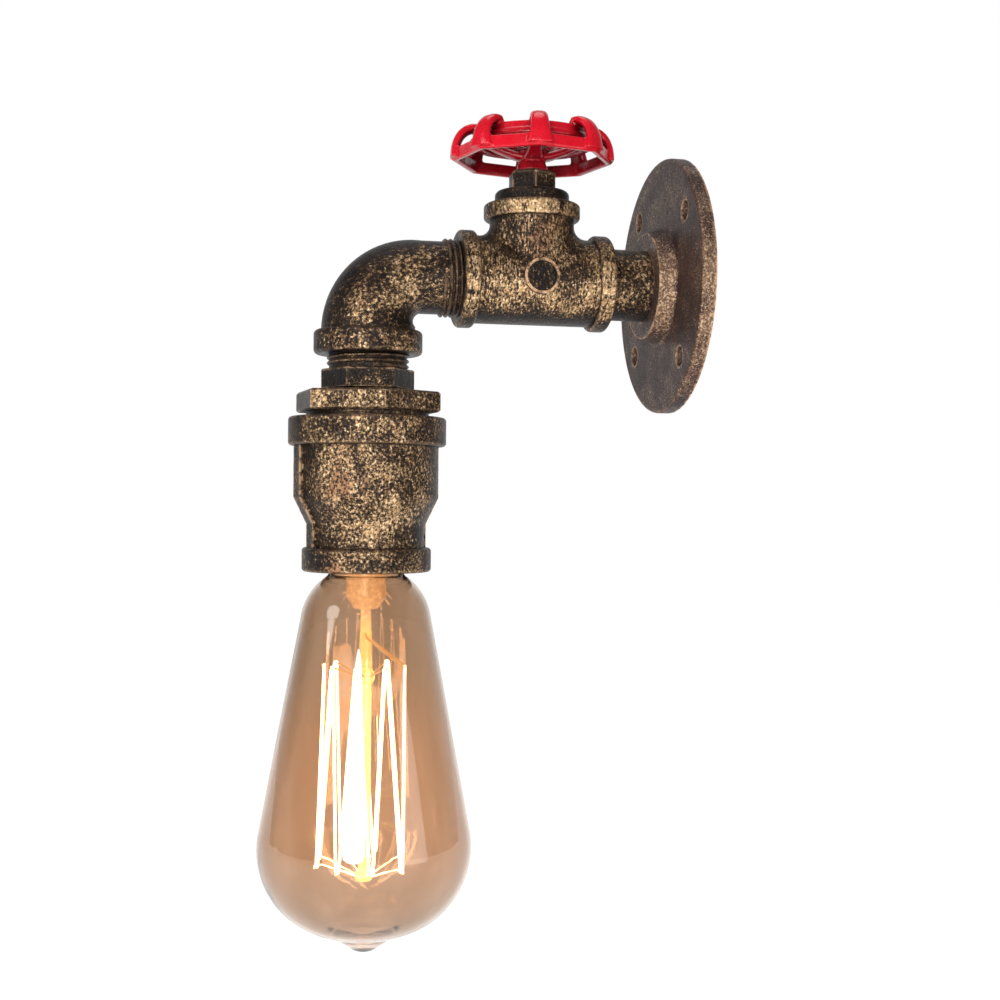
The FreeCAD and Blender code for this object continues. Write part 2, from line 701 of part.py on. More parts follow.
def make_pipe_tee():
    """Malleable tee: banded run along Y, banded branch up Z, filleted crotch and round pad."""
    tee = new_body("pipe_tee")
    run = [("-tee_arm", 0), ("-tee_arm", "tee_band_rad"), ("-tee_band_foot", "tee_band_rad"),
           ("-tee_band_foot", "run_rad"), ("tee_band_foot", "run_rad"),
           ("tee_band_foot", "tee_band_rad"), ("tee_arm", "tee_band_rad"), ("tee_arm", 0)]
    turn(tee, outline(tee, "YZ_Plane", run), axis="H_Axis")
    branch = [(0, 0), ("branch_rad", 0), ("branch_rad", "tee_band_foot"),
              ("tee_band_rad", "tee_band_foot"), ("tee_band_rad", "tee_arm"), (0, "tee_arm")]
    turn(tee, outline(tee, "XZ_Plane", branch))
    doc.recompute()
    crotch = [f"Edge{index}" for index, edge in enumerate(tee.Tip.Shape.Edges, start=1)
              if not isinstance(edge.Curve, (Part.Circle, Part.Line))]
    round_edges(tee, crotch, "tee_crotch")
    round_rings(tee, [("tee_band_rad", "-tee_arm"), ("tee_band_rad", "-tee_band_foot"),
                      ("tee_band_rad", "tee_arm"), ("tee_band_rad", "tee_band_foot")],
                "band_round", axis="y")
    round_rings(tee, [("tee_band_rad", "tee_arm"), ("tee_band_rad", "tee_band_foot")], "band_round")
    pad = circle_sketch(tee, "YZ_Plane", "badge_rad")
    extrude(tee, pad, "badge_top")
    dish = circle_sketch(tee, "YZ_Plane", "badge_inner_rad", offset="badge_floor")
    extrude(tee, dish, cut=True, reversed_way=True)
    passage = [("-tee_arm", 0), ("-tee_arm", "pipe_rad"), ("-tee_socket_floor", "pipe_rad"),
               ("-tee_socket_floor", "tee_bore_rad"), ("tee_socket_floor", "tee_bore_rad"),
               ("tee_socket_floor", "pipe_rad"), ("tee_arm", "pipe_rad"), ("tee_arm", 0)]
    turn(tee, outline(tee, "YZ_Plane", passage), axis="H_Axis", cut=True)
    well = [(0, 0), ("tee_bore_rad", 0), ("tee_bore_rad", "tee_socket_floor"),
            ("pipe_rad", "tee_socket_floor"), ("pipe_rad", "tee_arm"), (0, "tee_arm")]
    turn(tee, outline(tee, "XZ_Plane", well), cut=True)
    put(tee, reach="tee_reach")


def make_valve_bonnet():
    """Bonnet screwed into the branch: threaded plug, rounded collar and a bore for the bush."""
    bonnet = turned_piece("valve_bonnet", [
        ("bush_rad", "tee_socket_floor"), ("pipe_rad", "tee_socket_floor"),
        ("pipe_rad", "tee_arm"), ("collar_rad", "tee_arm"), ("collar_rad", "collar_top"),
        ("bush_rad", "collar_top")])
    round_rings(bonnet, [("collar_rad", "collar_top")], "collar_round")
    put(bonnet, reach="tee_reach")


def hex_piece(label, flats, base, high, bore, chamfer):
    """A hexagonal nut: its flats, its base level, its height, its bore and its edge chamfer."""
    nut = new_body(label)
    extrude(nut, hexagon_sketch(nut, flats, offset=base), high)
    doc.recompute()
    top = number(base) + number(high)
    names = [f"Edge{index}" for index, edge in enumerate(nut.Tip.Shape.Edges, start=1)
             if abs(edge.BoundBox.ZMin - top) < 0.01]
    round_edges(nut, names, chamfer, chamfer=True)
    extrude(nut, circle_sketch(nut, "XY_Plane", bore, offset=base), cut=True, reversed_way=True)
    return nut


def make_gland_nut():
    """Hexagonal nut that holds the switch bush up through the bonnet."""
    nut = hex_piece("gland_nut", "gland_flats", "collar_top", "gland_high", "bush_rad",
                    "gland_chamfer")
    put(nut, reach="tee_reach", turn="gland_turn")


def make_switch_body():
    """Rotary switch: round housing under the bonnet and a threaded bush up through it."""
    switch = turned_piece("switch_body", [
        (0, "switch_floor"), ("switch_rad", "switch_floor"), ("switch_rad", "tee_socket_floor"),
        ("bush_rad", "tee_socket_floor"), ("bush_rad", "gland_top"),
        ("spindle_bore_rad", "gland_top"), ("spindle_bore_rad", "spindle_pit"),
        (0, "spindle_pit")])
    for up in ("-switch_wire_reach", "switch_wire_reach"):
        entry = circle_sketch(switch, "XY_Plane", "wire_rad", offset="switch_floor",
                              across="wire_spread", up=up)
        extrude(switch, entry, "switch_wire_depth", cut=True, reversed_way=True)
    put(switch, reach="tee_reach")


def make_spindle():
    """Switch spindle: round shaft with a flat where the wheel sits and a threaded end."""
    spindle = turned_piece("spindle", [
        (0, "spindle_foot"), ("spindle_rad", "spindle_foot"), ("spindle_rad", "hub_top"),
        ("spindle_end_rad", "hub_top"), ("spindle_end_rad", "spindle_top"), (0, "spindle_top")])
    flat = outline(spindle, "XY_Plane", [
        ("spindle_flat", "-hub_base_rad"), ("hub_base_rad", "-hub_base_rad"),
        ("hub_base_rad", "hub_base_rad"), ("spindle_flat", "hub_base_rad")], offset="hub_base")
    extrude(spindle, flat, cut=True, reversed_way=True)
    put(spindle, reach="tee_reach", turn="lobe_turn")


def ground_sketch(body):
    """A small sketch on the XY plane whose normal is the piece's own Z axis."""
    return circle_sketch(body, "XY_Plane", "spindle_rad")


def lobe_feature(wheel, half, cheek, bulge, root, cut):
    """A quarter ring of round-ended section that rises from the rim's base over to its top.

    The section stands half to each side and its round end reaches bulge from the quarter's axis.
    """
    section = outline(wheel, "XY_Plane", [
        (root, "-" + half), (cheek, "-" + half), (cheek, half), (root, half)],
        {1: (half, -1)}, offset="wheel_base")
    section.setExpression("AttachmentOffset.Base.x", cell("lobe_axis_rad"))
    feature = turn(wheel, section, cut=cut, angle=90)
    feature.Reversed = True
    return feature


def make_handwheel():
    """Cast handwheel: hollow skirted rim, hollow lobes, dished spokes and a coned hub."""
    wheel = new_body("handwheel")
    rim = [("wheel_rad", "wheel_base"), ("wheel_rad", "skirt_top"),
           ("wheel_ledge_rad", "ledge_top"), ("wheel_ring_rad", "wheel_ring_top"),
           ("wheel_inner_rad", "wheel_ring_top"), ("wheel_inner_rad", "ring_under"),
           ("ring_inner_rad", "ring_under"), ("ledge_inner_rad", "ledge_under"),
           ("skirt_inner_rad", "skirt_under"), ("skirt_inner_rad", "wheel_base")]
    turn(wheel, outline(wheel, "XZ_Plane", rim))
    lobe = lobe_feature(wheel, "lobe_half", "lobe_cheek", "lobe_bulge", "lobe_root", False)
    repeat(wheel, [lobe], "lobe_count", ground_sketch(wheel))
    hollow = lobe_feature(wheel, "lobe_core_half", "lobe_core_cheek", "lobe_core", 0, True)
    repeat(wheel, [hollow], "lobe_count", ground_sketch(wheel))
    hub = [(0, "hub_base"), ("hub_base_rad", "hub_base"), ("hub_neck_rad", "hub_neck_height"),
           ("hub_neck_rad", "hub_top"), (0, "hub_top")]
    turn(wheel, outline(wheel, "XZ_Plane", hub))
    spoke = outline(wheel, "XZ_Plane", [
        (0, "spoke_low"), ("wheel_washer_rad", "spoke_low"),
        ("ring_inner_rad", "spoke_high_under"), ("ring_inner_rad", "spoke_high"),
        ("wheel_washer_rad", "hub_top"), (0, "hub_top")])
    bar = extrude(wheel, spoke, "spoke_wide", midplane=True)
    repeat(wheel, [bar], "spoke_count", ground_sketch(wheel))
    bore = outline(wheel, "XY_Plane", [
        ("spindle_flat", "-flat_chord"), ("spindle_flat", "flat_chord"), ("-spindle_rad", 0)],
        {1: ("spindle_rad", -1), 2: ("spindle_rad", -1)}, offset="hub_base")
    extrude(wheel, bore, cut=True, reversed_way=True)
    put(wheel, reach="tee_reach", turn="lobe_turn")


def make_wheel_fastening():
    """Washer and hexagonal nut that hold the wheel down on its spindle."""
    washer = turned_piece("wheel_washer", [
        ("spindle_end_rad", "hub_top"), ("wheel_washer_rad", "hub_top"),
        ("wheel_washer_rad", "wheel_washer_top"), ("spindle_end_rad", "wheel_washer_top")])
    put(washer, reach="tee_reach")
    nut = hex_piece("wheel_nut", "wheel_nut_flats", "wheel_washer_top", "wheel_nut_high",
                    "spindle_end_rad", "hex_chamfer")
    put(nut, reach="tee_reach", turn="gland_turn")


def pipe_along(body, spine, profile, sections=(), cut=False):
    """Sweep a profile along a spine sketch, through further sections where given."""
    kind = "PartDesign::SubtractivePipe" if cut else "PartDesign::AdditivePipe"
    feature = body.newObject(kind, "bend")
    feature.Profile = profile
    feature.Spine = (spine, ["Edge1"])
    if sections:
        feature.Transformation = "Multisection"
        feature.Sections = list(sections)
    return feature


def make_street_elbow():
    """Street elbow: threaded leg, bend that swells towards its banded female end."""
    elbow = new_body("street_elbow")
    leg = [("bend_radius", 0), ("bend_radius", "pipe_rad"), ("leg_shoulder", "pipe_rad"),
           ("leg_end", "pipe_tip_rad"), ("leg_end", 0)]
    turn(elbow, outline(elbow, "YZ_Plane", leg), axis="H_Axis")
    spine = new_sketch(elbow, "YZ_Plane")
    start = FreeCAD.Vector(number("bend_radius"), 0, 0)
    end = FreeCAD.Vector(0, number("bend_foot"), 0)
    arc, turned_round = arc_through(start, end, number("bend_radius"), -1)
    spine.addGeometry(arc)
    fix_point(spine, 0, 1, "bend_radius", 0)
    fix_point(spine, 0, 2, 0, "bend_foot")
    item = spine.addConstraint(Sketcher.Constraint("Radius", 0, number("bend_radius")))
    spine.setExpression(f"Constraints[{item}]", cell("bend_radius"))
    small_end = circle_sketch(elbow, "XZ_Plane", "pipe_rad", offset="-bend_radius")
    large_end = circle_sketch(elbow, "XY_Plane", "elbow_body_rad", offset="bend_foot")
    pipe_along(elbow, spine, small_end, [large_end])
    drop = [(0, "bend_foot"), ("elbow_body_rad", "bend_foot"),
            ("elbow_body_rad", "elbow_band_top"), ("elbow_band_rad", "elbow_band_top"),
            ("elbow_band_rad", "elbow_face"), (0, "elbow_face")]
    turn(elbow, outline(elbow, "XZ_Plane", drop))
    round_rings(elbow, [("elbow_band_rad", "elbow_face"), ("elbow_band_rad", "elbow_band_top")],
                "elbow_round")
    bore_end = circle_sketch(elbow, "XZ_Plane", "elbow_bore_rad", offset="-bend_radius")
    pipe_along(elbow, spine, bore_end, cut=True)
    leg_bore = [("bend_radius", 0), ("bend_radius", "elbow_bore_rad"),
                ("leg_end", "elbow_bore_rad"), ("leg_end", 0)]
    turn(elbow, outline(elbow, "YZ_Plane", leg_bore), axis="H_Axis", cut=True)
    socket = [(0, "elbow_face"), ("drop_thread_rad", "elbow_face"),
              ("drop_thread_rad", "elbow_socket_floor"), (0, "elbow_socket_floor")]
    turn(elbow, outline(elbow, "XZ_Plane", socket), cut=True)
    put(elbow, reach="drop_reach")


def hex_fitting(label, corners, flats, base, high, chamfer, bore, rotation):
    """A turned fitting with a hexagon round it and a bore right through."""
    fitting = turned_piece(label, corners)
    extrude(fitting, hexagon_sketch(fitting, flats, offset=base), high)
    doc.recompute()
    levels = (number(base), number(base) + number(high))
    names = [f"Edge{index}" for index, edge in enumerate(fitting.Tip.Shape.Edges, start=1)
             if isinstance(edge.Curve, Part.Line) and edge.BoundBox.ZLength < 0.01
             and min(abs(edge.BoundBox.ZMin - level) for level in levels) < 0.01]
    round_edges(fitting, names, chamfer, chamfer=True)
    bore_sketch = circle_sketch(fitting, "XY_Plane", bore)
    extrude(fitting, bore_sketch, cut=True)
    put(fitting, reach="drop_reach", turn=rotation)
    return fitting


def make_hex_nipple():
    """Hexagon nipple: a thread up into the elbow, a hexagon, and a thread down."""
    hex_fitting("hex_nipple", [
        (0, "nipple_foot"), ("drop_thread_tip_rad", "nipple_foot"),
        ("drop_thread_rad", "nipple_foot_shoulder"), ("drop_thread_rad", "nipple_tip_shoulder"),
        ("drop_thread_tip_rad", "elbow_socket_floor"), (0, "elbow_socket_floor")],
        "nipple_flats", "nipple_hex_base", "nipple_hex_high", "nipple_chamfer",
        "nipple_bore_rad", "nipple_turn")


def make_hex_bushing():
    """Hexagon bushing: a large thread down into the socket and a bore for the nipple."""
    hex_fitting("hex_bushing", [
        (0, "bushing_foot"), ("bushing_thread_rad", "bushing_foot"),
        ("bushing_thread_rad", "bushing_hex_base"), (0, "bushing_hex_base")],
        "bushing_flats", "bushing_hex_base", "bushing_hex_high", "hex_chamfer",
        "drop_thread_rad", "bushing_turn")


def make_reducing_socket():
    """Bell-shaped reducing socket with two casting ribs, stepped inside to seat the holder."""
    socket = turned_piece("reducing_socket", [
        ("bushing_thread_rad", "socket_top"), ("socket_top_rad", "socket_top"),
        ("socket_top_rad", "socket_top_foot"), ("socket_body_rad", "socket_top_foot"),
        ("socket_body_rad", "socket_taper_top"), ("socket_neck_rad", "socket_taper_foot"),
        ("socket_neck_rad", "socket_mouth_top"), ("socket_mouth_rad", "socket_mouth_top"),
        ("socket_mouth_rad", "socket_mouth"), ("socket_mouth_bore_rad", "socket_mouth"),
        ("socket_mouth_bore_rad", "holder_seat"), ("bushing_thread_rad", "holder_seat")])
    round_rings(socket, [("socket_body_rad", "socket_taper_top"),
                         ("socket_neck_rad", "socket_taper_foot")], "taper_round")
    round_rings(socket, [("socket_top_rad", "socket_top"), ("socket_top_rad", "socket_top_foot"),
                         ("socket_mouth_rad", "socket_mouth"),
                         ("socket_mouth_rad", "socket_mouth_top")], "band_round")
    rib_sketch = outline(socket, "XZ_Plane", [
        ("rib_body_root", "socket_top_foot"), ("rib_body_rad", "socket_top_foot"),
        ("rib_body_rad", "socket_taper_top"), ("rib_neck_rad", "socket_taper_foot"),
        ("rib_neck_rad", "socket_mouth_top"), ("rib_neck_root", "socket_mouth_top"),
        ("rib_neck_root", "socket_taper_foot"), ("rib_body_root", "socket_taper_top")])
    rib = extrude(socket, rib_sketch, "rib_wide", midplane=True)
    repeat(socket, [rib], "rib_count", ground_sketch(socket))
    put(socket, reach="drop_reach", turn="rib_turn")


def make_holder_ring():
    """Threaded ring that clamps the lamp holder on its seat, slotted for a spanner."""
    ring = turned_piece("holder_ring", [
        ("ring_bore_rad", "holder_flange_top"), ("bushing_thread_rad", "holder_flange_top"),
        ("bushing_thread_rad", "ring_top"), ("ring_bore_rad", "ring_top")])
    slot = outline(ring, "XY_Plane", [
        ("-socket_body_rad", "-slot_half"), ("socket_body_rad", "-slot_half"),
        ("socket_body_rad", "slot_half"), ("-socket_body_rad", "slot_half")], offset="ring_top")
    extrude(ring, slot, "ring_slot_deep", cut=True)
    put(ring, reach="drop_reach", turn="bushing_turn")


def make_lampholder_body():
    """Porcelain holder: a barrel round the screw shell, a seating flange and a terminal base."""
    holder = turned_piece("lampholder_body", [
        ("shell_rad", "holder_mouth"), ("holder_barrel_rad", "holder_mouth"),
        ("holder_barrel_rad", "holder_seat"), ("holder_flange_rad", "holder_seat"),
        ("holder_flange_rad", "holder_flange_top"), ("holder_base_rad", "holder_flange_top"),
        ("holder_base_rad", "holder_top"), (0, "holder_top"), (0, "holder_floor_level"),
        ("shell_rad", "holder_floor_level")])
    for across in ("live_terminal", "-neutral_terminal"):
        hole = circle_sketch(holder, "XY_Plane", "rivet_rad", offset="holder_floor_level",
                             across=across)
        extrude(holder, hole, cut=True, reversed_way=True)
    put(holder, reach="drop_reach")


def make_lampholder_shell():
    """Screw shell of the holder: a thin cup, open in the middle, held by its own rivet."""
    shell = turned_piece("lampholder_shell", [
        ("shell_inner_rad", "holder_mouth"), ("shell_rad", "holder_mouth"),
        ("shell_rad", "holder_floor_level"), ("shell_hole_rad", "holder_floor_level"),
        ("shell_hole_rad", "shell_under"), ("shell_inner_rad", "shell_under")])
    hole = circle_sketch(shell, "XY_Plane", "rivet_rad", offset="shell_under",
                         across="-neutral_terminal")
    extrude(shell, hole, cut=True, reversed_way=True)
    put(shell, reach="drop_reach")


def make_lampholder_tongue():
    """Centre contact: a bent strip that dips from its rivet to the middle of the holder."""
    tongue = new_body("lampholder_tongue")
    strip = outline(tongue, "XZ_Plane", [
        ("tongue_tail", "holder_floor_level"), ("tongue_knee", "holder_floor_level"),
        ("tongue_toe", "tongue_dip_top"), ("-tongue_nose", "tongue_dip_top"),
        ("-tongue_nose", "tongue_low"), ("tongue_toe_under", "tongue_low"),
        ("tongue_knee_under", "tongue_under"), ("tongue_tail", "tongue_under")])
    extrude(tongue, strip, "tongue_wide", midplane=True)
    hole = circle_sketch(tongue, "XY_Plane", "rivet_rad", offset="tongue_under",
                         across="live_terminal")
    extrude(tongue, hole, cut=True, reversed_way=True)
    put(tongue, reach="drop_reach")


def upright(radius, foot, top, across=0.0, along=0.0):
    """A cylinder between two heights, standing at a point."""
    return Part.makeCylinder(radius, top - foot, FreeCAD.Vector(across, along, foot))


def make_terminals():
    """The holder's two wire terminals with their clamp screws, and the rivets below them."""
    wide = number("terminal_wide")
    base, top = number("holder_top"), number("terminal_top")
    screw_level = top - number("terminal_pit") / 2
    blocks, screws, rivets = [], [], []
    for across, head_under in ((number("live_terminal"), number("tongue_under")),
                               (-number("neutral_terminal"), number("shell_under"))):
        block = Part.makeBox(wide, wide, top - base,
                             FreeCAD.Vector(across - wide / 2, -wide / 2, base))
        wire_pit = upright(number("wire_rad"), top - number("terminal_pit"), top, across)
        screw = Part.makeCylinder(
            number("terminal_screw_dia") / 2, wide / 2 - number("wire_rad"),
            FreeCAD.Vector(across, number("wire_rad"), screw_level), FreeCAD.Vector(0, 1, 0))
        head = Part.makeCylinder(
            number("terminal_head_dia") / 2, number("terminal_head_high"),
            FreeCAD.Vector(across, wide / 2, screw_level), FreeCAD.Vector(0, 1, 0))
        rivet = upright(number("rivet_rad"), head_under, base + number("rivet_grip"), across)
        rivet_head = upright(number("rivet_head_rad"), head_under - number("rivet_head_high"),
                             head_under, across)
        blocks.append(block.cut([wire_pit, screw, rivet]))
        screws.append(screw.cut(wire_pit).fuse(head))
        rivets.append(rivet.fuse(rivet_head))
    for label, solids in (("holder_terminals", blocks), ("terminal_screws", screws),
                          ("holder_rivets", rivets)):
        put(new_shape(label, Part.makeCompound(solids)), reach="drop_reach")


def make_bulb_cap():
    """Screw cap: a thin shell with a flared skirt, its glass insulator and centre button."""
    cap = turned_piece("bulb_cap", [
        ("cap_skirt_rad", "cap_rim"), ("cap_skirt_rad", "cap_skirt_top"),
        ("cap_rad", "cap_skirt_shoulder"), ("cap_rad", "cap_crown_foot"),
        ("cap_crown_rad", "cap_top"), ("cap_hole_rad", "cap_top"), ("cap_hole_rad", "cap_under"),
        ("cap_crown_rad", "cap_under"), ("cap_inner_rad", "cap_crown_foot"),
        ("cap_inner_rad", "cap_skirt_shoulder"), ("cap_skirt_inner_rad", "cap_skirt_top"),
        ("cap_skirt_inner_rad", "cap_rim")])
    insulator = turned_piece("cap_insulator", [
        (0, "cap_under"), ("cap_hole_rad", "cap_under"), ("cap_hole_rad", "cap_top"),
        ("insulator_top_rad", "insulator_top"), (0, "insulator_top")])
    button = turned_piece("cap_button", [
        (0, "insulator_top"), ("button_rad", "insulator_top"), ("button_top_rad", "button_top"),
        (0, "button_top")])
    for piece in (cap, insulator, button):
        put(piece, reach="drop_reach")


def make_bulb_glass():
    """Teardrop bulb: cylinder neck, round shoulder, straight slope, round belly, sealed tip."""
    glass = turned_piece("bulb_glass", [
        ("glass_neck_rad", "glass_top"), ("glass_neck_rad", "neck_meet_z"),
        ("slope_top_x", "slope_top_z"), ("slope_low_x", "slope_low_z"),
        ("tip_base_rad", "tip_base_z"), ("tip_neck_rad", "tip_neck_z"), (0, "bulb_tip"),
        (0, "belly_floor"), ("slope_low_inner_x", "slope_low_inner_z"),
        ("slope_top_inner_x", "slope_top_inner_z"), ("glass_neck_inner_rad", "neck_meet_inner_z"),
        ("glass_neck_inner_rad", "glass_top")],
        {1: ("shoulder_round", 1), 3: ("belly_round", 1), 7: ("belly_inner_round", -1),
         9: ("shoulder_inner_round", -1)})
    round_rings(glass, [("glass_neck_rad", "neck_meet_z")], "neck_round")
    put(glass, reach="drop_reach")


def make_bulb_stem():
    """Glass stem: flared tube sealed to the neck, closed by a flat pinch, and the rod below."""
    stem = turned_piece("bulb_stem", [
        ("stem_flare_inner_rad", "stem_top"), ("glass_neck_inner_rad", "stem_top"),
        ("stem_rad", "stem_flare_foot"), ("stem_rad", "stem_foot"),
        ("stem_neck_rad", "pinch_top"), ("stem_neck_inner_rad", "pinch_top"),
        ("stem_inner_rad", "stem_foot"), ("stem_inner_rad", "stem_flare_foot")])
    pinch = outline(stem, "YZ_Plane", [
        ("-pinch_half", "pinch_foot"), ("pinch_half", "pinch_foot"),
        ("pinch_half", "pinch_top"), ("-pinch_half", "pinch_top")])
    extrude(stem, pinch, "pinch_thick", midplane=True)
    for up in ("-lead_spread", "lead_spread"):
        hole = circle_sketch(stem, "XY_Plane", "lead_rad", offset="pinch_foot", up=up)
        extrude(stem, hole, "pinch_long", cut=True, reversed_way=True)
    put(stem, reach="drop_reach", turn="filament_turn")
    rod = turned_piece("bulb_rod", [
        (0, "pinch_foot"), ("rod_rad", "pinch_foot"), ("rod_rad", "bead_top"),
        ("rod_rad", "bead_foot"), ("rod_rad", "foot_top"), ("rod_rad", "rod_foot"),
        (0, "rod_foot")], {2: ("bead_round", 1), 4: ("button_round", 1)})
    put(rod, reach="drop_reach")
    doc.recompute()
    return rod.Tip.Shape


def bend_at(before, corner, after, radius):
    """Start, middle, end and centre of the tangent arc that rounds a corner between two points."""
    back = (before - corner).normalize()
    onward = (after - corner).normalize()
    half_turn = (math.pi - back.getAngle(onward)) / 2
    inward = (back + onward).normalize()
    centre = corner + inward * (radius / math.cos(half_turn))
    reach = radius * math.tan(half_turn)
    return corner + back * reach, centre - inward * radius, corner + onward * reach, centre


def rounded_path(points, radii):
    """One wire of straight runs joined by tangent arcs, with a radius for each inner point."""
    edges = []
    start = points[0]
    for before, corner, after, radius in zip(points, points[1:], points[2:], radii):
        first, middle, last, centre = bend_at(before, corner, after, radius)
        edges.append(Part.LineSegment(start, first).toShape())
        edges.append(Part.Arc(first, middle, last).toShape())
        start = last
    edges.append(Part.LineSegment(start, points[-1]).toShape())
    return Part.Wire(edges)


def tube(points, radii, radius):
    """A round solid along straight runs and tangent arcs, checked against section by length."""
    path = rounded_path(points, radii)
    ring = Part.Wire(Part.Circle(points[0], points[1] - points[0], radius).toShape())
    solid = path.makePipeShell([ring], True, False)
    expected = math.pi * radius ** 2 * path.Length
    if abs(solid.Volume / expected - 1) > 0.01:
        raise ValueError(f"a tube holds {solid.Volume:.1f} and should hold {expected:.1f} mm3")
    return solid, path


def make_wire(label, points, radii):
    """An insulated wire, with its length and bend radii printed."""
    solid, path = tube([FreeCAD.Vector(*point) for point in points], radii, number("wire_rad"))
    new_shape(label, solid)
    print(f"{label}: {path.Length:.1f} mm long, bends {[round(radius, 1) for radius in radii]} mm")


def make_wiring():
    """Feed from the wall to the switch, and two wires through the elbow to the holder."""
    side, level = number("wire_spread"), -number("wire_drop")
    wall_end = -number("pipe_setback")
    switch_in = -number("tee_reach") + number("switch_wire_reach")
    switch_out = -number("tee_reach") - number("switch_wire_reach")
    switch_top = number("switch_floor") + number("switch_wire_depth")
    drop = -number("drop_reach")
    shaft = drop + number("wire_drop")
    fan_top = number("nipple_foot") + number("wire_fan_top")
    fan_foot = fan_top - number("wire_fan_high")
    pit = number("terminal_top") - number("terminal_pit")
    sharp, wide = number("wire_bend"), number("bend_radius") - number("wire_drop")
    live_at, neutral_at = number("live_terminal"), -number("neutral_terminal")
    make_wire("feed_wire", [
        (side, wall_end, level), (side, switch_in, level), (side, switch_in, switch_top)],
        [sharp])
    make_wire("switched_wire", [
        (side, switch_out, switch_top), (side, switch_out, level), (side, shaft, level),
        (side, shaft, fan_top), (live_at, drop, fan_foot), (live_at, drop, pit)],
        [sharp, wide, sharp, sharp])
    make_wire("neutral_wire", [
        (-side, wall_end, level), (-side, shaft, level), (-side, shaft, fan_top),
        (neutral_at, drop, fan_foot), (neutral_at, drop, pit)],
        [wide, sharp, sharp])


def around(radius, angle, level):
    """A point at a radius and an angle in degrees about the drop's axis."""
    turned = math.radians(angle)
    return FreeCAD.Vector(radius * math.cos(turned), radius * math.sin(turned), level)


def make_hook(centre, root_level, side, rod):
    """A support wire from the glass rod, through the middle of a filament bend, to its hook."""
    angle = math.degrees(math.atan2(centre.y, centre.x))
    radius = math.hypot(centre.x, centre.y)
    tip_rad = radius + number("hook_reach")
    bend = number("hook_bend")
    wire, path = tube([
        around(number("hook_root"), angle, root_level),
        around(radius - number("hook_run"), angle, centre.z), around(tip_rad, angle, centre.z),
        around(tip_rad, angle, centre.z + number("hook_rise") * side)],
        [bend, bend], number("hook_wire") / 2)
    return wire.cut(rod)


def make_filament(rod):
    """Squirrel-cage filament round two rings of hooks set in the glass rod, and its leads."""
    runs = int(number("filament_runs"))
    length, bend = number("filament_length"), number("filament_bend")
    radii = (number("filament_top_rad"), number("filament_low_rad"))
    levels = (number("filament_top"), number("filament_foot"))
    step = (360 - number("filament_gap")) / runs
    first = number("filament_turn") + number("filament_gap") / 2
    half_gaps = [radius * math.sin(math.radians(step)) for radius in reversed(radii)]
    full_height = length / (1 - bend / half_gaps[0] - bend / half_gaps[1])
    flare = (radii[1] - radii[0]) / length
    turns = []
    for index in range(runs + 1):
        low = index % 2
        beyond = 0
        if 0 < index < runs:
            beyond = bend * full_height / half_gaps[low] * (-1 if low else 1)
        turns.append(around(radii[low] - flare * beyond, first + step * index, levels[low] + beyond))
    solid, path = tube(turns, [bend] * (runs - 1), number("filament_wire") / 2)
    print(f"filament: {path.Length:.0f} mm long in {runs} runs, bends {bend} mm")
    put(new_shape("filament", solid), reach="drop_reach")
    centres = [bend_at(*turns[index - 1:index + 2], bend)[3] for index in range(1, runs)]
    for label, ring, root_level, side in (
            ("lower_hooks", centres[::2], "foot_middle", -1),
            ("upper_hooks", centres[1::2], "bead_middle", 1)):
        wires = [make_hook(centre, number(root_level), side, rod) for centre in ring]
        put(new_shape(label, Part.makeCompound(wires)), reach="drop_reach")
    leads = []
    spread, lead_foot = number("lead_spread"), number("pinch_foot") - number("lead_run")
    for knot, side in ((turns[0], 1), (turns[-1], -1)):
        angle = number("filament_turn") + 90 * side
        lead, path = tube([
            around(spread, angle, number("cap_under")), around(spread, angle, lead_foot), knot],
            [number("lead_bend")], number("lead_rad"))
        leads.append(lead.cut(solid))
    put(new_shape("bulb_leads", Part.makeCompound(leads)), reach="drop_reach")


def check_and_write():
    """Refuse a failed feature or an unsound solid, then write one STEP file for each piece."""
    doc.recompute()
    failed = [f"{item.Label} of {item.getParentGeoFeatureGroup().Label}" for item in doc.Objects
              if "Invalid" in item.State or "Error" in item.State]
    if failed:
        raise ValueError(f"failed: {failed}")
    for piece in subparts:
        if piece.Shape.isNull() or not piece.Shape.isValid() or not piece.Shape.Solids:
            raise ValueError(f"{piece.Label} has no sound solid")
    os.makedirs("parts", exist_ok=True)
    for piece in subparts:
        piece.Shape.exportStep(f"parts/{piece.Label}.step")
        box = piece.Shape.BoundBox
        print(f"{piece.Label}: {len(piece.Shape.Solids)} solids, {piece.Shape.Volume:.0f} mm3,"
              f" x {box.XMin:.1f} {box.XMax:.1f}, y {box.YMin:.1f} {box.YMax:.1f},"
              f" z {box.ZMin:.1f} {box.ZMax:.1f}")


make_wall_flange()
make_flange_nipple()
make_pipe_tee()
make_valve_bonnet()
make_gland_nut()
make_switch_body()
make_spindle()
make_handwheel()
make_wheel_fastening()
make_street_elbow()
make_hex_nipple()
make_hex_bushing()
make_reducing_socket()
make_holder_ring()
make_lampholder_body()
make_lampholder_shell()
make_lampholder_tongue()
make_terminals()
make_bulb_cap()
make_bulb_glass()
make_filament(make_bulb_stem())
make_wiring()
check_and_write()
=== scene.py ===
import bpy
import bmesh
import json
import math
from mathutils import Matrix, Vector


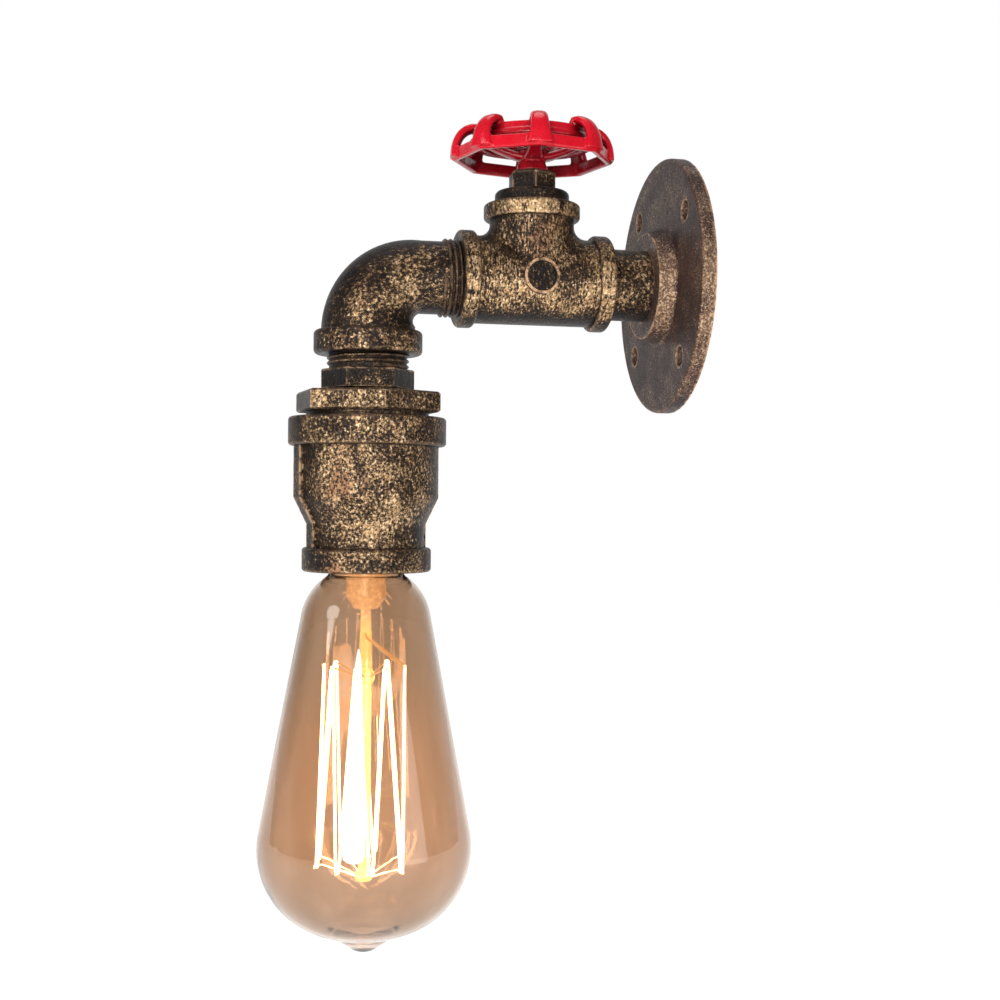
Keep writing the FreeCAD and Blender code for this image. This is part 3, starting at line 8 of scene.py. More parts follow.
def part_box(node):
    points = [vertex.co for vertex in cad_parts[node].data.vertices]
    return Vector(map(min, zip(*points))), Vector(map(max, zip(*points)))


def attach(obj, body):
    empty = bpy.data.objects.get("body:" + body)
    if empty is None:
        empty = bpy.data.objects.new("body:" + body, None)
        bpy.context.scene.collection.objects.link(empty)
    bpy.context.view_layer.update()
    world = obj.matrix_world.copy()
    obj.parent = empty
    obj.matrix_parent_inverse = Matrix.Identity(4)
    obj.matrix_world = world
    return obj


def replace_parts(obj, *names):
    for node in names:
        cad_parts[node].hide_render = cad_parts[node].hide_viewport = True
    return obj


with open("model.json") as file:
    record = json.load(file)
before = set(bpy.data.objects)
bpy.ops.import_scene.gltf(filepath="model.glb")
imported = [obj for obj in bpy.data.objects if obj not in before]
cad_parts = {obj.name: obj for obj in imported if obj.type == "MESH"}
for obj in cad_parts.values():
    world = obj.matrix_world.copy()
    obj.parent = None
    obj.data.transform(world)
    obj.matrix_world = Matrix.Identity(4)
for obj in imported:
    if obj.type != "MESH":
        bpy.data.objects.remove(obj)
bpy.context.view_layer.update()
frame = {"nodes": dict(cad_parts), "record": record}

# Sizes and places are written in millimetres and multiplied by MM where Blender takes metres.
MM = 0.001
UP = Vector((0, 0, 1))
TO_WALL = Vector((0, 1, 0))
ASIDE = Vector((1, 0, 0))
VALVE_Y = -51.8 * MM
BULB_Y = -109.1 * MM


# Camera: the fitted view of the photograph, level, a little below the arm
CAMERA_PLACE = Vector((509.675, -179.685, -76.497)) * MM
CAMERA_TURN = math.radians(12.956)
CAMERA_ROLL = math.radians(0.448)
CAMERA_LENS = 53.98
CAMERA_SENSOR = 36.0
CAMERA_NEAR = 10 * MM
CAMERA_FAR = 20000 * MM


def add_camera():
    """Adds the camera, and gives back its level directions: forward and to its right."""
    forward = Vector((-math.cos(CAMERA_TURN), math.sin(CAMERA_TURN), 0))
    level = forward.cross(UP)
    right = level * math.cos(CAMERA_ROLL) + UP * math.sin(CAMERA_ROLL)
    above = UP * math.cos(CAMERA_ROLL) - level * math.sin(CAMERA_ROLL)
    data = bpy.data.cameras.new("camera")
    data.lens = CAMERA_LENS
    data.sensor_width = CAMERA_SENSOR
    data.clip_start = CAMERA_NEAR
    data.clip_end = CAMERA_FAR
    camera = bpy.data.objects.new("camera", data)
    bpy.context.scene.collection.objects.link(camera)
    axes = Matrix((right, above, -forward)).transposed().to_4x4()
    camera.matrix_world = Matrix.Translation(CAMERA_PLACE) @ axes
    bpy.context.scene.camera = camera
    return forward, level


# Materials

X_AXIS, Y_AXIS, Z_AXIS = 0, 1, 2


class Finish:
    """A material and its node tree, with short calls for the nodes that the finishes use."""

    def __init__(self, name):
        self.material = bpy.data.materials.new(name)
        self.material.use_nodes = True
        self.tree = self.material.node_tree
        self.shader = self.tree.nodes["Principled BSDF"]
        self.output = self.tree.nodes["Material Output"]
        place = self.add("ShaderNodeTexCoord")
        self.place = self.vector("SCALE", place.outputs["Object"], scale=1 / MM)

    def add(self, kind, **settings):
        node = self.tree.nodes.new(kind)
        for name, value in settings.items():
            setattr(node, name, value)
        return node

    def feed(self, socket, value):
        """Links a socket to another node's output, or sets its number or colour."""
        if isinstance(value, bpy.types.NodeSocket):
            self.tree.links.new(value, socket)
        else:
            socket.default_value = value

    def set(self, **values):
        """Feeds the shader's sockets, named with _ for each space."""
        for name, value in values.items():
            self.feed(self.shader.inputs[name.replace("_", " ")], value)

    def vector(self, operation, a, b=(0, 0, 0), scale=1.0):
        node = self.add("ShaderNodeVectorMath", operation=operation)
        self.feed(node.inputs[0], a)
        self.feed(node.inputs[1], b)
        node.inputs[3].default_value = scale
        return node.outputs["Value" if operation == "DOT_PRODUCT" else "Vector"]

    def maths(self, operation, a, b=0.0):
        node = self.add("ShaderNodeMath", operation=operation)
        self.feed(node.inputs[0], a)
        self.feed(node.inputs[1], b)
        return node.outputs[0]

    def plus(self, a, b):
        return self.maths("ADD", a, b)

    def times(self, a, b):
        return self.maths("MULTIPLY", a, b)

    def noise(self, size, detail=2.0, rough=0.6, stretch=(1, 1, 1), warp=0.0):
        """Noise with blotches of about size millimetres, longer along an axis of small stretch."""
        place = self.vector("MULTIPLY", self.place, tuple(part / size for part in stretch))
        node = self.add("ShaderNodeTexNoise")
        self.feed(node.inputs["Vector"], place)
        node.inputs["Scale"].default_value = 1.0
        node.inputs["Detail"].default_value = detail
        node.inputs["Roughness"].default_value = rough
        node.inputs["Distortion"].default_value = warp
        return node.outputs["Fac"]

    def span(self, value, low, high, out_low=0.0, out_high=1.0):
        """Turns low to high smoothly into out_low to out_high."""
        node = self.add("ShaderNodeMapRange", interpolation_type="SMOOTHSTEP")
        for socket, number in zip(node.inputs, (value, low, high, out_low, out_high)):
            self.feed(socket, number)
        return node.outputs[0]

    def within(self, value, low, high, blur):
        """1 between low and high, and 0 further out than blur."""
        above = self.span(value, low - blur, low)
        return self.times(above, self.span(value, high, high + blur, 1.0, 0.0))

    def mix(self, share, a, b):
        node = self.add("ShaderNodeMix", data_type="RGBA")
        self.feed(node.inputs[0], share)
        for socket, colour in ((node.inputs[6], a), (node.inputs[7], b)):
            self.feed(socket, (*colour, 1.0) if isinstance(colour, tuple) else colour)
        return node.outputs[2]

    def split(self, axis):
        """One coordinate in millimetres."""
        node = self.add("ShaderNodeSeparateXYZ")
        self.feed(node.inputs[0], self.place)
        return node.outputs[axis]

    def bump(self, height, depth, under=None):
        node = self.add("ShaderNodeBump")
        node.inputs["Strength"].default_value = 1.0
        node.inputs["Distance"].default_value = depth * MM
        self.feed(node.inputs["Height"], height)
        if under:
            self.feed(node.inputs["Normal"], under)
        return node.outputs["Normal"]

    def hollows(self, reach, inside=False):
        """1 on open ground, less in a groove or, when inside is set, along a sharp outer edge."""
        node = self.add("ShaderNodeAmbientOcclusion", samples=8, inside=inside, only_local=inside)
        node.inputs["Distance"].default_value = reach * MM
        return node.outputs["AO"]

    def facing(self, direction):
        """How far the surface faces along direction, from -1 to 1, in the row frame."""
        normal = self.add("ShaderNodeNewGeometry").outputs["Normal"]
        return self.vector("DOT_PRODUCT", normal, direction)


# Antique bronze. Its gold lies where the sum of a fine noise, brush strokes and lifts is high.
# A lift is how much more, or less, of it a place has. A pair named FULL is where an effect starts
# and where it is full.
GOLD_FULL = (0.496, 0.592)
WASH_FULL = (0.420, 0.520)
HALF_COVER = 0.5
FINE_SHARE, STROKE_SHARE, STROKE_SIZE = 0.45, 0.55, 1.15
PATCH_SIZE, PATCH_FULL, PATCH_LIFT = 13.0, (0.34, 0.66), (-0.04, 0.04)
# Painted light and shade in the gold: more on faces turned along X, towards the lamps by the
# camera, and on lower sides; less on tops and undersides
SIDE_FULL, PAINTED_SIDE_LIGHT = (0.25, 0.95), (-0.055, 0.03)
LOW_SIDE_FULL, PAINTED_LOW_LIGHT_TOP_SHADE = (-0.55, 0.45), (-0.03, 0.02)
BELLY_FULL, PAINTED_BELLY_SHADE = (0.72, 0.95), (0.0, -0.06)
RING_BLUR = 0.3
GROOVE_OPEN = (0.30, 0.80)
EDGE_REACH, EDGE_FULL = 1.2, (0.92, 0.66)
EDGE_BREAKS, EDGE_LEAST = 2.4, 0.10
EDGE_COLOUR = (0.60, 0.37, 0.215)
WASH_SHINE, MOST_METAL = 0.5, 0.70
LACQUER_ROUGH, GOLD_ROUGH = 0.36, 0.40

# Grounds are (dark, brown) and metals are (wash, gold, pale gold, copper).
BLACK_GROUND = ((0.0045, 0.0031, 0.0028), (0.011, 0.0064, 0.0048))
PLUM_GROUND = ((0.020, 0.0118, 0.0120), (0.038, 0.0225, 0.0210))
BRIGHT_GOLD = ((0.085, 0.050, 0.026), (0.42, 0.255, 0.120), (0.80, 0.60, 0.37),
               (0.32, 0.145, 0.075))
DULL_GOLD = ((0.060, 0.035, 0.030), (0.17, 0.100, 0.065), (0.52, 0.37, 0.23),
             (0.17, 0.090, 0.070))

# Raised rings and the pad that the brush covered more or less, as (axis, low, high, lift)
TEE_RINGS = ((Z_AXIS, 21.1, 26.7, 0.05), (Y_AXIS, -78.5, -72.9, 0.03), (Y_AXIS, -30.7, -25.1, 0.03),
             (X_AXIS, 16.0, 16.3, 0.03), (X_AXIS, 15.35, 15.7, -0.06))
FLANGE_BOSS = ((Y_AXIS, -12.0, -6.2, 0.025),)


def bronze(name, fleck, cover, stretch=(1, 1, 1), ground=BLACK_GROUND, metals=BRIGHT_GOLD,
           gloss=0.13, rings=(), wear=0.85, shelter=3.0):
    """Antique bronze: near-black lacquer on rough iron, with gold brushed over its high spots.

    The gold's flecks are about fleck millimetres wide, cover is how much of it there is, and
    stretch how the brush ran. Edges are worn by the share wear, and the brush missed hollows
    narrower than about twice shelter. Painted light and shade also move the gold: more of it on
    faces turned along X and on lower sides, less on tops and undersides.
    """
    f = Finish(name)
    dark, brown = ground
    wash, gold, pale, copper = metals
    fine = f.noise(fleck, 4.0, 0.72)
    strokes = f.noise(fleck * STROKE_SIZE, 3.0, 0.68, stretch)
    pattern = f.plus(f.times(fine, FINE_SHARE), f.times(strokes, STROKE_SHARE))
    patches = f.span(f.noise(PATCH_SIZE, 3.0, 0.6, warp=0.5), *PATCH_FULL, *PATCH_LIFT)
    # Painted light and shade: gold raised on faces along X and lower sides, lowered on tops and
    # undersides
    side = f.span(f.maths("ABSOLUTE", f.facing((1, 0, 0))), *SIDE_FULL, *PAINTED_SIDE_LIGHT)
    down = f.facing((0, 0, -1))
    painted_low_light_top_shade = f.span(down, *LOW_SIDE_FULL, *PAINTED_LOW_LIGHT_TOP_SHADE)
    painted_belly_shade = f.span(down, *BELLY_FULL, *PAINTED_BELLY_SHADE)
    lift = f.plus(f.plus(patches, side), f.plus(painted_low_light_top_shade, painted_belly_shade))
    for axis, low, high, ring_lift in rings:
        lift = f.plus(lift, f.times(f.within(f.split(axis), low, high, RING_BLUR), ring_lift))
    raised = f.plus(pattern, f.plus(lift, cover - HALF_COVER))

    open_ground = f.span(f.hollows(shelter), *GROOVE_OPEN)
    rub = f.times(f.span(raised, *GOLD_FULL), open_ground)
    smear = f.times(f.span(raised, *WASH_FULL), open_ground)
    edge = f.span(f.hollows(EDGE_REACH, inside=True), *EDGE_FULL)
    broken = f.times(edge, f.span(f.noise(EDGE_BREAKS, 3.0), 0.42, 0.58, EDGE_LEAST, 1.0))
    worn = f.times(f.times(broken, open_ground), wear)

    lacquer = f.mix(f.span(f.noise(7.0, 3.0), 0.35, 0.65), dark, brown)
    metal = f.mix(f.span(f.noise(0.9, 2.0), 0.46, 0.64), gold, pale)
    metal = f.mix(f.span(f.noise(19.0, 2.5), 0.57, 0.74), metal, copper)
    colour = f.mix(worn, f.mix(rub, f.mix(smear, lacquer, wash), metal), EDGE_COLOUR)
    shine = f.maths("MAXIMUM", f.maths("MAXIMUM", rub, f.times(smear, WASH_SHINE)), worn)
    f.set(Base_Color=colour, Metallic=f.times(shine, MOST_METAL), Specular_IOR_Level=gloss)
    f.set(Roughness=f.span(shine, 0.0, 1.0, LACQUER_ROUGH, GOLD_ROUGH))
    grain = f.bump(f.noise(0.7, 4.0, 0.65), 0.25)
    f.set(Normal=f.bump(f.noise(4.0, 2.0), 0.5, f.bump(pattern, 0.35, grain)))
    return f.material


ENAMEL_RED = ((0.50, 0.004, 0.013), (0.62, 0.008, 0.022))
ENAMEL_SHADE = (0.085, 0.001, 0.003)
ENAMEL_EDGE_PALE = (0.80, 0.06, 0.07)


def enamel(name):
    """Thick red gloss paint over a cast wheel, painted shade deep in its folds, paler on its edges.
    """
    f = Finish(name)
    # Painted shade: the red goes dark deep in the wheel's folds and inside, where shade falls
    folds = f.span(f.hollows(30.0), 0.28, 0.88)
    # Paler red along sharp outer edges
    edge = f.span(f.hollows(0.8, inside=True), 0.9, 0.6)
    deep = f.mix(folds, ENAMEL_SHADE, f.mix(f.noise(8.0, 2.0), *ENAMEL_RED))
    f.set(Base_Color=f.mix(f.times(edge, 0.30), deep, ENAMEL_EDGE_PALE))
    f.set(Roughness=f.span(f.noise(5.0, 3.0), 0.3, 0.7, 0.16, 0.30))
    f.set(Specular_IOR_Level=0.24, Coat_Weight=0.12, Coat_Roughness=0.07)
    f.set(Normal=f.bump(f.noise(1.6, 3.0), 0.06, f.bump(f.noise(7.0, 1.5), 0.5)))
    return f.material


DARKER_TONE = 0.82
SMOOTHER, ROUGHER = 0.8, 1.25


def plain(name, colour, metal, rough, blotch, grain, depth, stretch=(1, 1, 1), **more):
    """An even finish whose tone and roughness vary a little, with a fine grain."""
    f = Finish(name)
    darker = tuple(part * DARKER_TONE for part in colour)
    f.set(Base_Color=f.mix(f.noise(blotch, 3.0), darker, colour), Metallic=metal)
    f.set(Roughness=f.span(f.noise(blotch / 2, 3.0), 0.3, 0.7, rough * SMOOTHER, rough * ROUGHER))
    f.set(Normal=f.bump(f.noise(grain, 3.0, 0.6, stretch), depth))
    f.set(**more)
    return f.material


# Envelope of the bulb: the tint across its face and at its rim, and the painted glow beside
# the filament, which stands for its light in the glass
ENVELOPE_TINT = ((0.57, 0.435, 0.325), (0.64, 0.50, 0.39))
ENVELOPE_RIM = (0.40, 0.305, 0.235)
ENVELOPE_SHADOW = (0.82, 0.70, 0.58, 1.0)
GLOW_COLOUR, GLOW_STRENGTH = (1.0, 0.34, 0.10), 0.06
GLOW_FOOT, GLOW_HEAD = (-215.0, -190.0), (-165.0, -125.0)


def envelope_glass(name):
    """Smoky amber glass with a faint painted glow beside the filament and a light shadow."""
    f = Finish(name)
    streaks = f.noise(14.0, 2.0, 0.5, (1, 1, 0.12))
    tint = f.mix(f.span(streaks, 0.35, 0.65), *ENVELOPE_TINT)
    rim = f.add("ShaderNodeLayerWeight")
    rim.inputs["Blend"].default_value = 0.5
    tint = f.mix(f.span(rim.outputs["Facing"], 0.35, 0.95), tint, ENVELOPE_RIM)
    f.set(Base_Color=tint, Roughness=0.02, Transmission_Weight=1.0, IOR=1.45)
    f.set(Normal=f.bump(f.noise(22.0, 1.0, 0.5, (1, 1, 0.2)), 0.25))
    # Painted light: the glass itself glows orange at the filament's height, less towards its rim
    level = f.split(Z_AXIS)
    painted_glow = f.times(f.span(level, *GLOW_FOOT), f.span(level, *GLOW_HEAD, 1.0, 0.0))
    painted_glow = f.times(painted_glow, f.span(rim.outputs["Facing"], 0.10, 0.55, 1.0, 0.0))
    f.set(Emission_Color=f.mix(painted_glow, (0.0, 0.0, 0.0), GLOW_COLOUR), Emission_Strength=GLOW_STRENGTH)
    path = f.add("ShaderNodeLightPath")
    clear = f.add("ShaderNodeBsdfTransparent")
    f.feed(clear.inputs["Color"], ENVELOPE_SHADOW)
    both = f.add("ShaderNodeMixShader")
    f.feed(both.inputs[0], path.outputs["Is Shadow Ray"])
    f.feed(both.inputs[1], f.shader.outputs[0])
    f.feed(both.inputs[2], clear.outputs[0])
    f.feed(f.output.inputs["Surface"], both.outputs[0])
    return f.material


# Glass inside the bulb: its painted glow beside the filament, above it and at its root, the
# heights between which the last two start, and the colour of its painted glints
GLASS_LIGHTS = ((1.0, 0.80, 0.22), (0.95, 0.42, 0.08), (0.16, 0.075, 0.025))
GLASS_ABOVE, GLASS_ROOT = (-141.0, -133.0), (-122.0, -113.0)
GLASS_GLINTS = (0.80, 0.55, 0.30)


def lit_glass(name):
    """Clear glass in the lit bulb with painted glow: yellow beside the filament, orange above, dim
    at the root.
    """
    f = Finish(name)
    level = f.split(Z_AXIS)
    beside, above, root = GLASS_LIGHTS
    glow = f.mix(f.span(level, *GLASS_ABOVE), beside, above)
    glow = f.mix(f.span(level, *GLASS_ROOT), glow, root)
    # Painted glints: pale specks in the painted glow
    glow = f.mix(f.span(f.noise(1.8, 2.0), 0.45, 0.7, 0.0, 0.45), glow, GLASS_GLINTS)
    f.set(Base_Color=(0.95, 0.88, 0.75, 1.0), Roughness=0.05, Transmission_Weight=0.7, IOR=1.48)
    f.set(Emission_Color=glow, Emission_Strength=0.9)
    f.set(Normal=f.bump(f.noise(1.6, 2.0), 0.25))
    return f.material


def glowing_wire(name, redder, whiter, strength):
    """Wire that glows, with its light a little uneven along its length: on the filament it is the
    lamp's own light, on the support wires and lower hooks it is painted glow.
    """
    f = Finish(name)
    glow = f.mix(f.span(f.noise(6.0, 2.0), 0.35, 0.65), redder, whiter)
    f.set(Base_Color=(0.10, 0.08, 0.07, 1.0), Roughness=0.5)
    f.set(Emission_Color=glow, Emission_Strength=strength)
    f.set(Normal=f.bump(f.noise(0.5, 2.0), 0.02))
    return f.material


TURNED = (1, 1, 6)
METAL, NO_METAL = 1.0, 0.0


def make_finishes():
    """Every material by name; plain ones have colour, metal, roughness, blotch, grain and depth."""
    finishes = {}

    def keep(kind, name, *settings, **more):
        finishes[name] = kind(name, *settings, **more)

    keep(bronze, "flange_bronze", 0.55, 0.528, ground=PLUM_GROUND, metals=DULL_GOLD, gloss=0.08,
         rings=FLANGE_BOSS, shelter=9.0)
    keep(bronze, "aged_bronze", 0.75, 0.468, (1.0, 0.8, 0.8))
    keep(bronze, "tee_bronze", 0.75, 0.470, (0.8, 1.25, 0.5), rings=TEE_RINGS)
    keep(bronze, "elbow_bronze", 0.75, 0.455, (1.2, 0.55, 0.75))
    keep(bronze, "dark_bronze", 0.65, 0.408)
    keep(bronze, "thread_bronze", 0.65, 0.425, wear=0.15)
    keep(enamel, "red_paint")
    keep(plain, "zinc_steel", (0.62, 0.62, 0.60), METAL, 0.30, 4.0, 0.5, 0.03)
    keep(plain, "brass", (0.72, 0.50, 0.22), METAL, 0.28, 5.0, 0.4, 0.02, TURNED)
    keep(plain, "nickel_brass", (0.74, 0.70, 0.62), METAL, 0.24, 6.0, 0.6, 0.02, TURNED)
    keep(plain, "solder", (0.60, 0.59, 0.57), METAL, 0.42, 2.0, 0.8, 0.12)
    keep(plain, "dark_plastic", (0.035, 0.034, 0.033), NO_METAL, 0.45, 6.0, 0.6, 0.03)
    keep(plain, "porcelain", (0.84, 0.82, 0.76), NO_METAL, 0.12, 12.0, 2.5, 0.05,
         Coat_Weight=0.5, Coat_Roughness=0.04)
    keep(plain, "black_glass", (0.012, 0.012, 0.014), NO_METAL, 0.08, 6.0, 1.5, 0.04)
    keep(plain, "brown_sleeve", (0.20, 0.085, 0.04), NO_METAL, 0.40, 6.0, 0.8, 0.03)
    keep(plain, "blue_sleeve", (0.05, 0.14, 0.42), NO_METAL, 0.40, 6.0, 0.8, 0.03)
    keep(envelope_glass, "amber_glass")
    keep(lit_glass, "clear_glass")
    keep(glowing_wire, "filament_wire", (1.0, 0.55, 0.26), (1.0, 0.70, 0.46), 17.0)
    # Painted light: the support wires and lower hooks glow, though only the filament is a lamp
    keep(glowing_wire, "support_wire", (1.0, 0.45, 0.15), (1.0, 0.60, 0.28), 1.2)
    keep(glowing_wire, "hot_supports", (1.0, 0.62, 0.28), (1.0, 0.78, 0.50), 7.0)
    return finishes


# Nodes whose finish is not their slot's own
NODE_FINISH = {
    "pipe_tee": "tee_bronze", "street_elbow": "elbow_bronze", "gland_nut": "dark_bronze",
    "valve_bonnet": "dark_bronze", "hex_nipple": "dark_bronze", "lower_hooks": "hot_supports"}


def dress(finishes):
    """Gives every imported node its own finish, or else its slot's."""
    for row in frame["record"]["subparts"]:
        node = frame["nodes"][row["node"]]
        node.data.materials.clear()
        node.data.materials.append(finishes[NODE_FINISH.get(row["node"], row["material_slot"])])


# Meshes

def mesh_piece(name, verts, faces, material, body):
    """A smooth piece from corners in metres, with its faces turned outwards."""
    data = bpy.data.meshes.new(name)
    data.from_pydata(verts, [], faces)
    work = bmesh.new()
    work.from_mesh(data)
    bmesh.ops.recalc_face_normals(work, faces=work.faces)
    work.to_mesh(data)
    work.free()
    data.shade_smooth()
    data.materials.append(material)
    piece = bpy.data.objects.new(name, data)
    bpy.context.scene.collection.objects.link(piece)
    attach(piece, body)
    return piece


def tube_faces(rows, wide, closed):
    """Faces between rows of wide corners; closed joins the last row to the first, or caps both."""
    faces = []
    for row in range(rows if closed else rows - 1):
        here, there = row * wide, (row + 1) % rows * wide
        for k in range(wide):
            after = (k + 1) % wide
            faces.append((here + k, here + after, there + after, there + k))
    if not closed:
        faces.append(tuple(reversed(range(wide))))
        faces.append(tuple(range((rows - 1) * wide, rows * wide)))
    return faces


STRAND_GROWTH = 0.15 * MM


def make_filament(material):
    """The filament as it looks when lit: its coiled strand is fuller than the CAD's plain one."""
    core = frame["nodes"]["filament"].data
    verts = [vertex.co + vertex.normal * STRAND_GROWTH for vertex in core.vertices]
    faces = [tuple(face.vertices) for face in core.polygons]
    strand = mesh_piece("lit_strand", verts, faces, material, "bulb")
    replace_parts(strand, "filament")


# Screw thread of the cap, and of the shell that takes it
SCREW_PITCH = 3.629
SCREW_STEP = 0.3
SCREW_FADE = 1.2
SCREW_SIDES = 96
SHEET_THICK = 0.4
CAP_RAD, CAP_DEPTH = 13.0, -0.35
CAP_RIM_RAD, CAP_RIM_HIGH, CAP_FLARE_HIGH = 13.9, 2.0, 3.0
CAP_SHOULDER_RAD, CAP_TOP_RAD, CAP_SHOULDER_HIGH = 11.4, 8.4, 1.6
SHELL_RAD, SHELL_DEPTH = 13.3, 0.30
SHELL_OUT_RAD, SHELL_HOLE_RAD = 13.69, 10.0


def threaded_wall(radius, depth, low, high):
    """Rows of (radius, height, depth) over a thread that fades out at both ends."""
    rows = []
    for index in range(int((high - low) / SCREW_STEP) + 1):
        height = low + index * SCREW_STEP
        fade = min(1.0, (height - low) / SCREW_FADE, (high - height) / SCREW_FADE)
        rows.append((radius, height, depth * max(fade, 0.0)))
    return rows


def screw_shell(name, rows, material, body, node):
    """A thin turned shell whose rows are pushed in or out by a rounded screw thread."""
    verts = []
    for step in range(SCREW_SIDES):
        angle = step * math.tau / SCREW_SIDES
        for radius, height, depth in rows:
            wave = 0.5 - 0.5 * math.cos(height / SCREW_PITCH * math.tau - angle)
            out = (radius + depth * wave) * MM
            verts.append((out * math.cos(angle), BULB_Y + out * math.sin(angle), height * MM))
    faces = tube_faces(SCREW_SIDES, len(rows), closed=True)
    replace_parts(mesh_piece(name, verts, faces, material, body), node)


def height_span(node):
    """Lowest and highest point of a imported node, in millimetres."""
    low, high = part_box(node)
    return low.z / MM, high.z / MM


def make_screw_shells(material):
    rim, crown = height_span("bulb_cap")
    shoulder = crown - CAP_SHOULDER_HIGH
    flare = rim + CAP_FLARE_HIGH
    cap = [(CAP_RIM_RAD - SHEET_THICK, rim, 0), (CAP_RIM_RAD, rim, 0),
           (CAP_RIM_RAD, rim + CAP_RIM_HIGH, 0), (CAP_RAD, flare, 0)]
    cap += threaded_wall(CAP_RAD, CAP_DEPTH, flare + 0.4, shoulder - 0.3)
    cap += [(CAP_RAD, shoulder, 0), (CAP_SHOULDER_RAD, crown, 0), (CAP_TOP_RAD, crown, 0),
            (CAP_TOP_RAD, crown - SHEET_THICK, 0), (CAP_SHOULDER_RAD - 0.2, crown - SHEET_THICK, 0),
            (CAP_RAD - SHEET_THICK, shoulder - 0.2, 0), (CAP_RAD - SHEET_THICK, flare, 0),
            (CAP_RIM_RAD - SHEET_THICK, rim + CAP_RIM_HIGH, 0)]
    screw_shell("screw_cap", cap, material, "bulb", "bulb_cap")
    mouth, floor = height_span("lampholder_shell")
    shell = [(SHELL_RAD, mouth, 0), (SHELL_OUT_RAD, mouth, 0), (SHELL_OUT_RAD, floor, 0),
             (SHELL_HOLE_RAD, floor, 0), (SHELL_HOLE_RAD, floor - SHEET_THICK, 0),
             (SHELL_RAD, floor - SHEET_THICK, 0)]
    shell += reversed(threaded_wall(SHELL_RAD, SHELL_DEPTH, mouth + 0.5, floor - 1.2))
    screw_shell("screw_shell", shell, material, "pipework", "lampholder_shell")


# Pipe thread, 14 turns to the inch: a ridge wound on a plain pipe. Its section is (shift along the
# pipe in pitches, rise in ridge heights), and it fades out over a quarter turn at each end.
THREAD_PITCH = 25.4 / 14
THREAD_STEPS = 72
THREAD_FADE = THREAD_STEPS / 4
THREAD_SECTION = ((-0.46, -0.25), (-0.30, 0.45), (-0.12, 0.9), (0.0, 1.0),
                  (0.12, 0.9), (0.30, 0.45), (0.46, -0.25))
NECK_RAD, SOCKET_MOUTH_RAD = 13.25, 20.2


def pipe_thread(name, material, place, along, radius, height, turns):
    """A thread from place along a level or upright pipe."""
    normal = along.cross(ASIDE)
    count = int(turns * THREAD_STEPS)
    verts = []
    for step in range(count + 1):
        angle = step / THREAD_STEPS * math.tau
        fade = min(1.0, step / THREAD_FADE, (count - step) / THREAD_FADE)
        out = ASIDE * math.cos(angle) + normal * math.sin(angle)
        for shift, rise in THREAD_SECTION:
            reach = radius + height * (rise * fade if rise > 0 else rise)
            run = (step / THREAD_STEPS + shift) * THREAD_PITCH
            verts.append(place + (along * run + out * reach) * MM)
    faces = tube_faces(count + 1, len(THREAD_SECTION), closed=False)
    mesh_piece(name, verts, faces, material, "pipework")


def make_threads(material):
    """Thread turns left showing where a pipe enters a fitting."""
    pipe_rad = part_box("flange_nipple")[1].x / MM
    leg = Vector((0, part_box("pipe_tee")[0].y - 5.9 * MM, 0))
    neck = Vector((0, BULB_Y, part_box("street_elbow")[0].z - 4.4 * MM))
    mouth = Vector((0, BULB_Y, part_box("reducing_socket")[1].z - 0.9 * MM))
    pipe_thread("leg_thread", material, leg, TO_WALL, pipe_rad, 1.0, 3.4)
    pipe_thread("neck_thread", material, neck, UP, NECK_RAD, 0.8, 2.6)
    pipe_thread("bushing_thread", material, mouth, UP, SOCKET_MOUTH_RAD, 0.8, 1.2)


# Handwheel, from the valve's axis and the arm's axis: points are (reach, height), and those of a
# ring have the share of the octagon in their shape as well. A bar's sections are (half width,
# half height).
WHEEL_TURN = math.radians(-8.5)
WHEEL_VOXEL = 0.36
WHEEL_SOFTENING = 5
RING_STEPS, HUB_STEPS = 256, 96
BAND_PROFILE = (
    (26.0, 41.9, 1.0), (26.0, 45.6, 1.0), (25.6, 46.0, 1.0), (24.2, 46.0, 1.0), (23.8, 45.6, 1.0),
    (23.8, 41.9, 1.0), (24.2, 41.6, 1.0), (25.6, 41.6, 1.0))
BEAD_PROFILE = (
    (21.5, 47.4, 0.3), (21.5, 49.0, 0.3), (20.7, 49.5, 0.2), (20.6, 51.3, 0.1), (20.2, 51.8, 0.1),
    (18.4, 51.8, 0.0), (18.0, 51.4, 0.0), (18.0, 47.6, 0.0), (18.5, 47.1, 0.0), (21.0, 47.1, 0.3))
HUB_PROFILE = (
    (3.05, 38.5, 0.0), (5.7, 38.5, 0.0), (5.2, 40.2, 0.0), (4.3, 42.4, 0.0), (4.6, 44.2, 0.0),
    (5.6, 45.0, 0.0), (5.6, 45.4, 0.0), (3.05, 45.4, 0.0))
LOBES = 8
LOBE_AXIS = (19.2, 42.6)
LOBE_REACH, LOBE_RISE, LOBE_FULLNESS = 8.0, 10.6, 0.84
LOBE_SECTION, LOBE_FOOT = (3.0, 1.65), 1.6
LOBE_DEGREES = range(0, 89, 8)
LOBE_END = [(18.9, 51.8), (18.9, 50.9), (18.8, 49.6)]
SPOKES = 4
SPOKE_PATH = (
    (3.6, 43.4), (6.0, 43.9), (9.0, 44.9), (12.0, 46.0), (15.0, 47.4), (17.5, 48.4), (19.5, 48.9))
SPOKE_SECTIONS = (
    (3.6, 1.5), (3.1, 1.5), (2.6, 1.4), (2.6, 1.4), (3.2, 1.4), (4.6, 1.5), (6.0, 1.5))
BAR_SIDES, BAR_ROUNDNESS = 12, 0.78


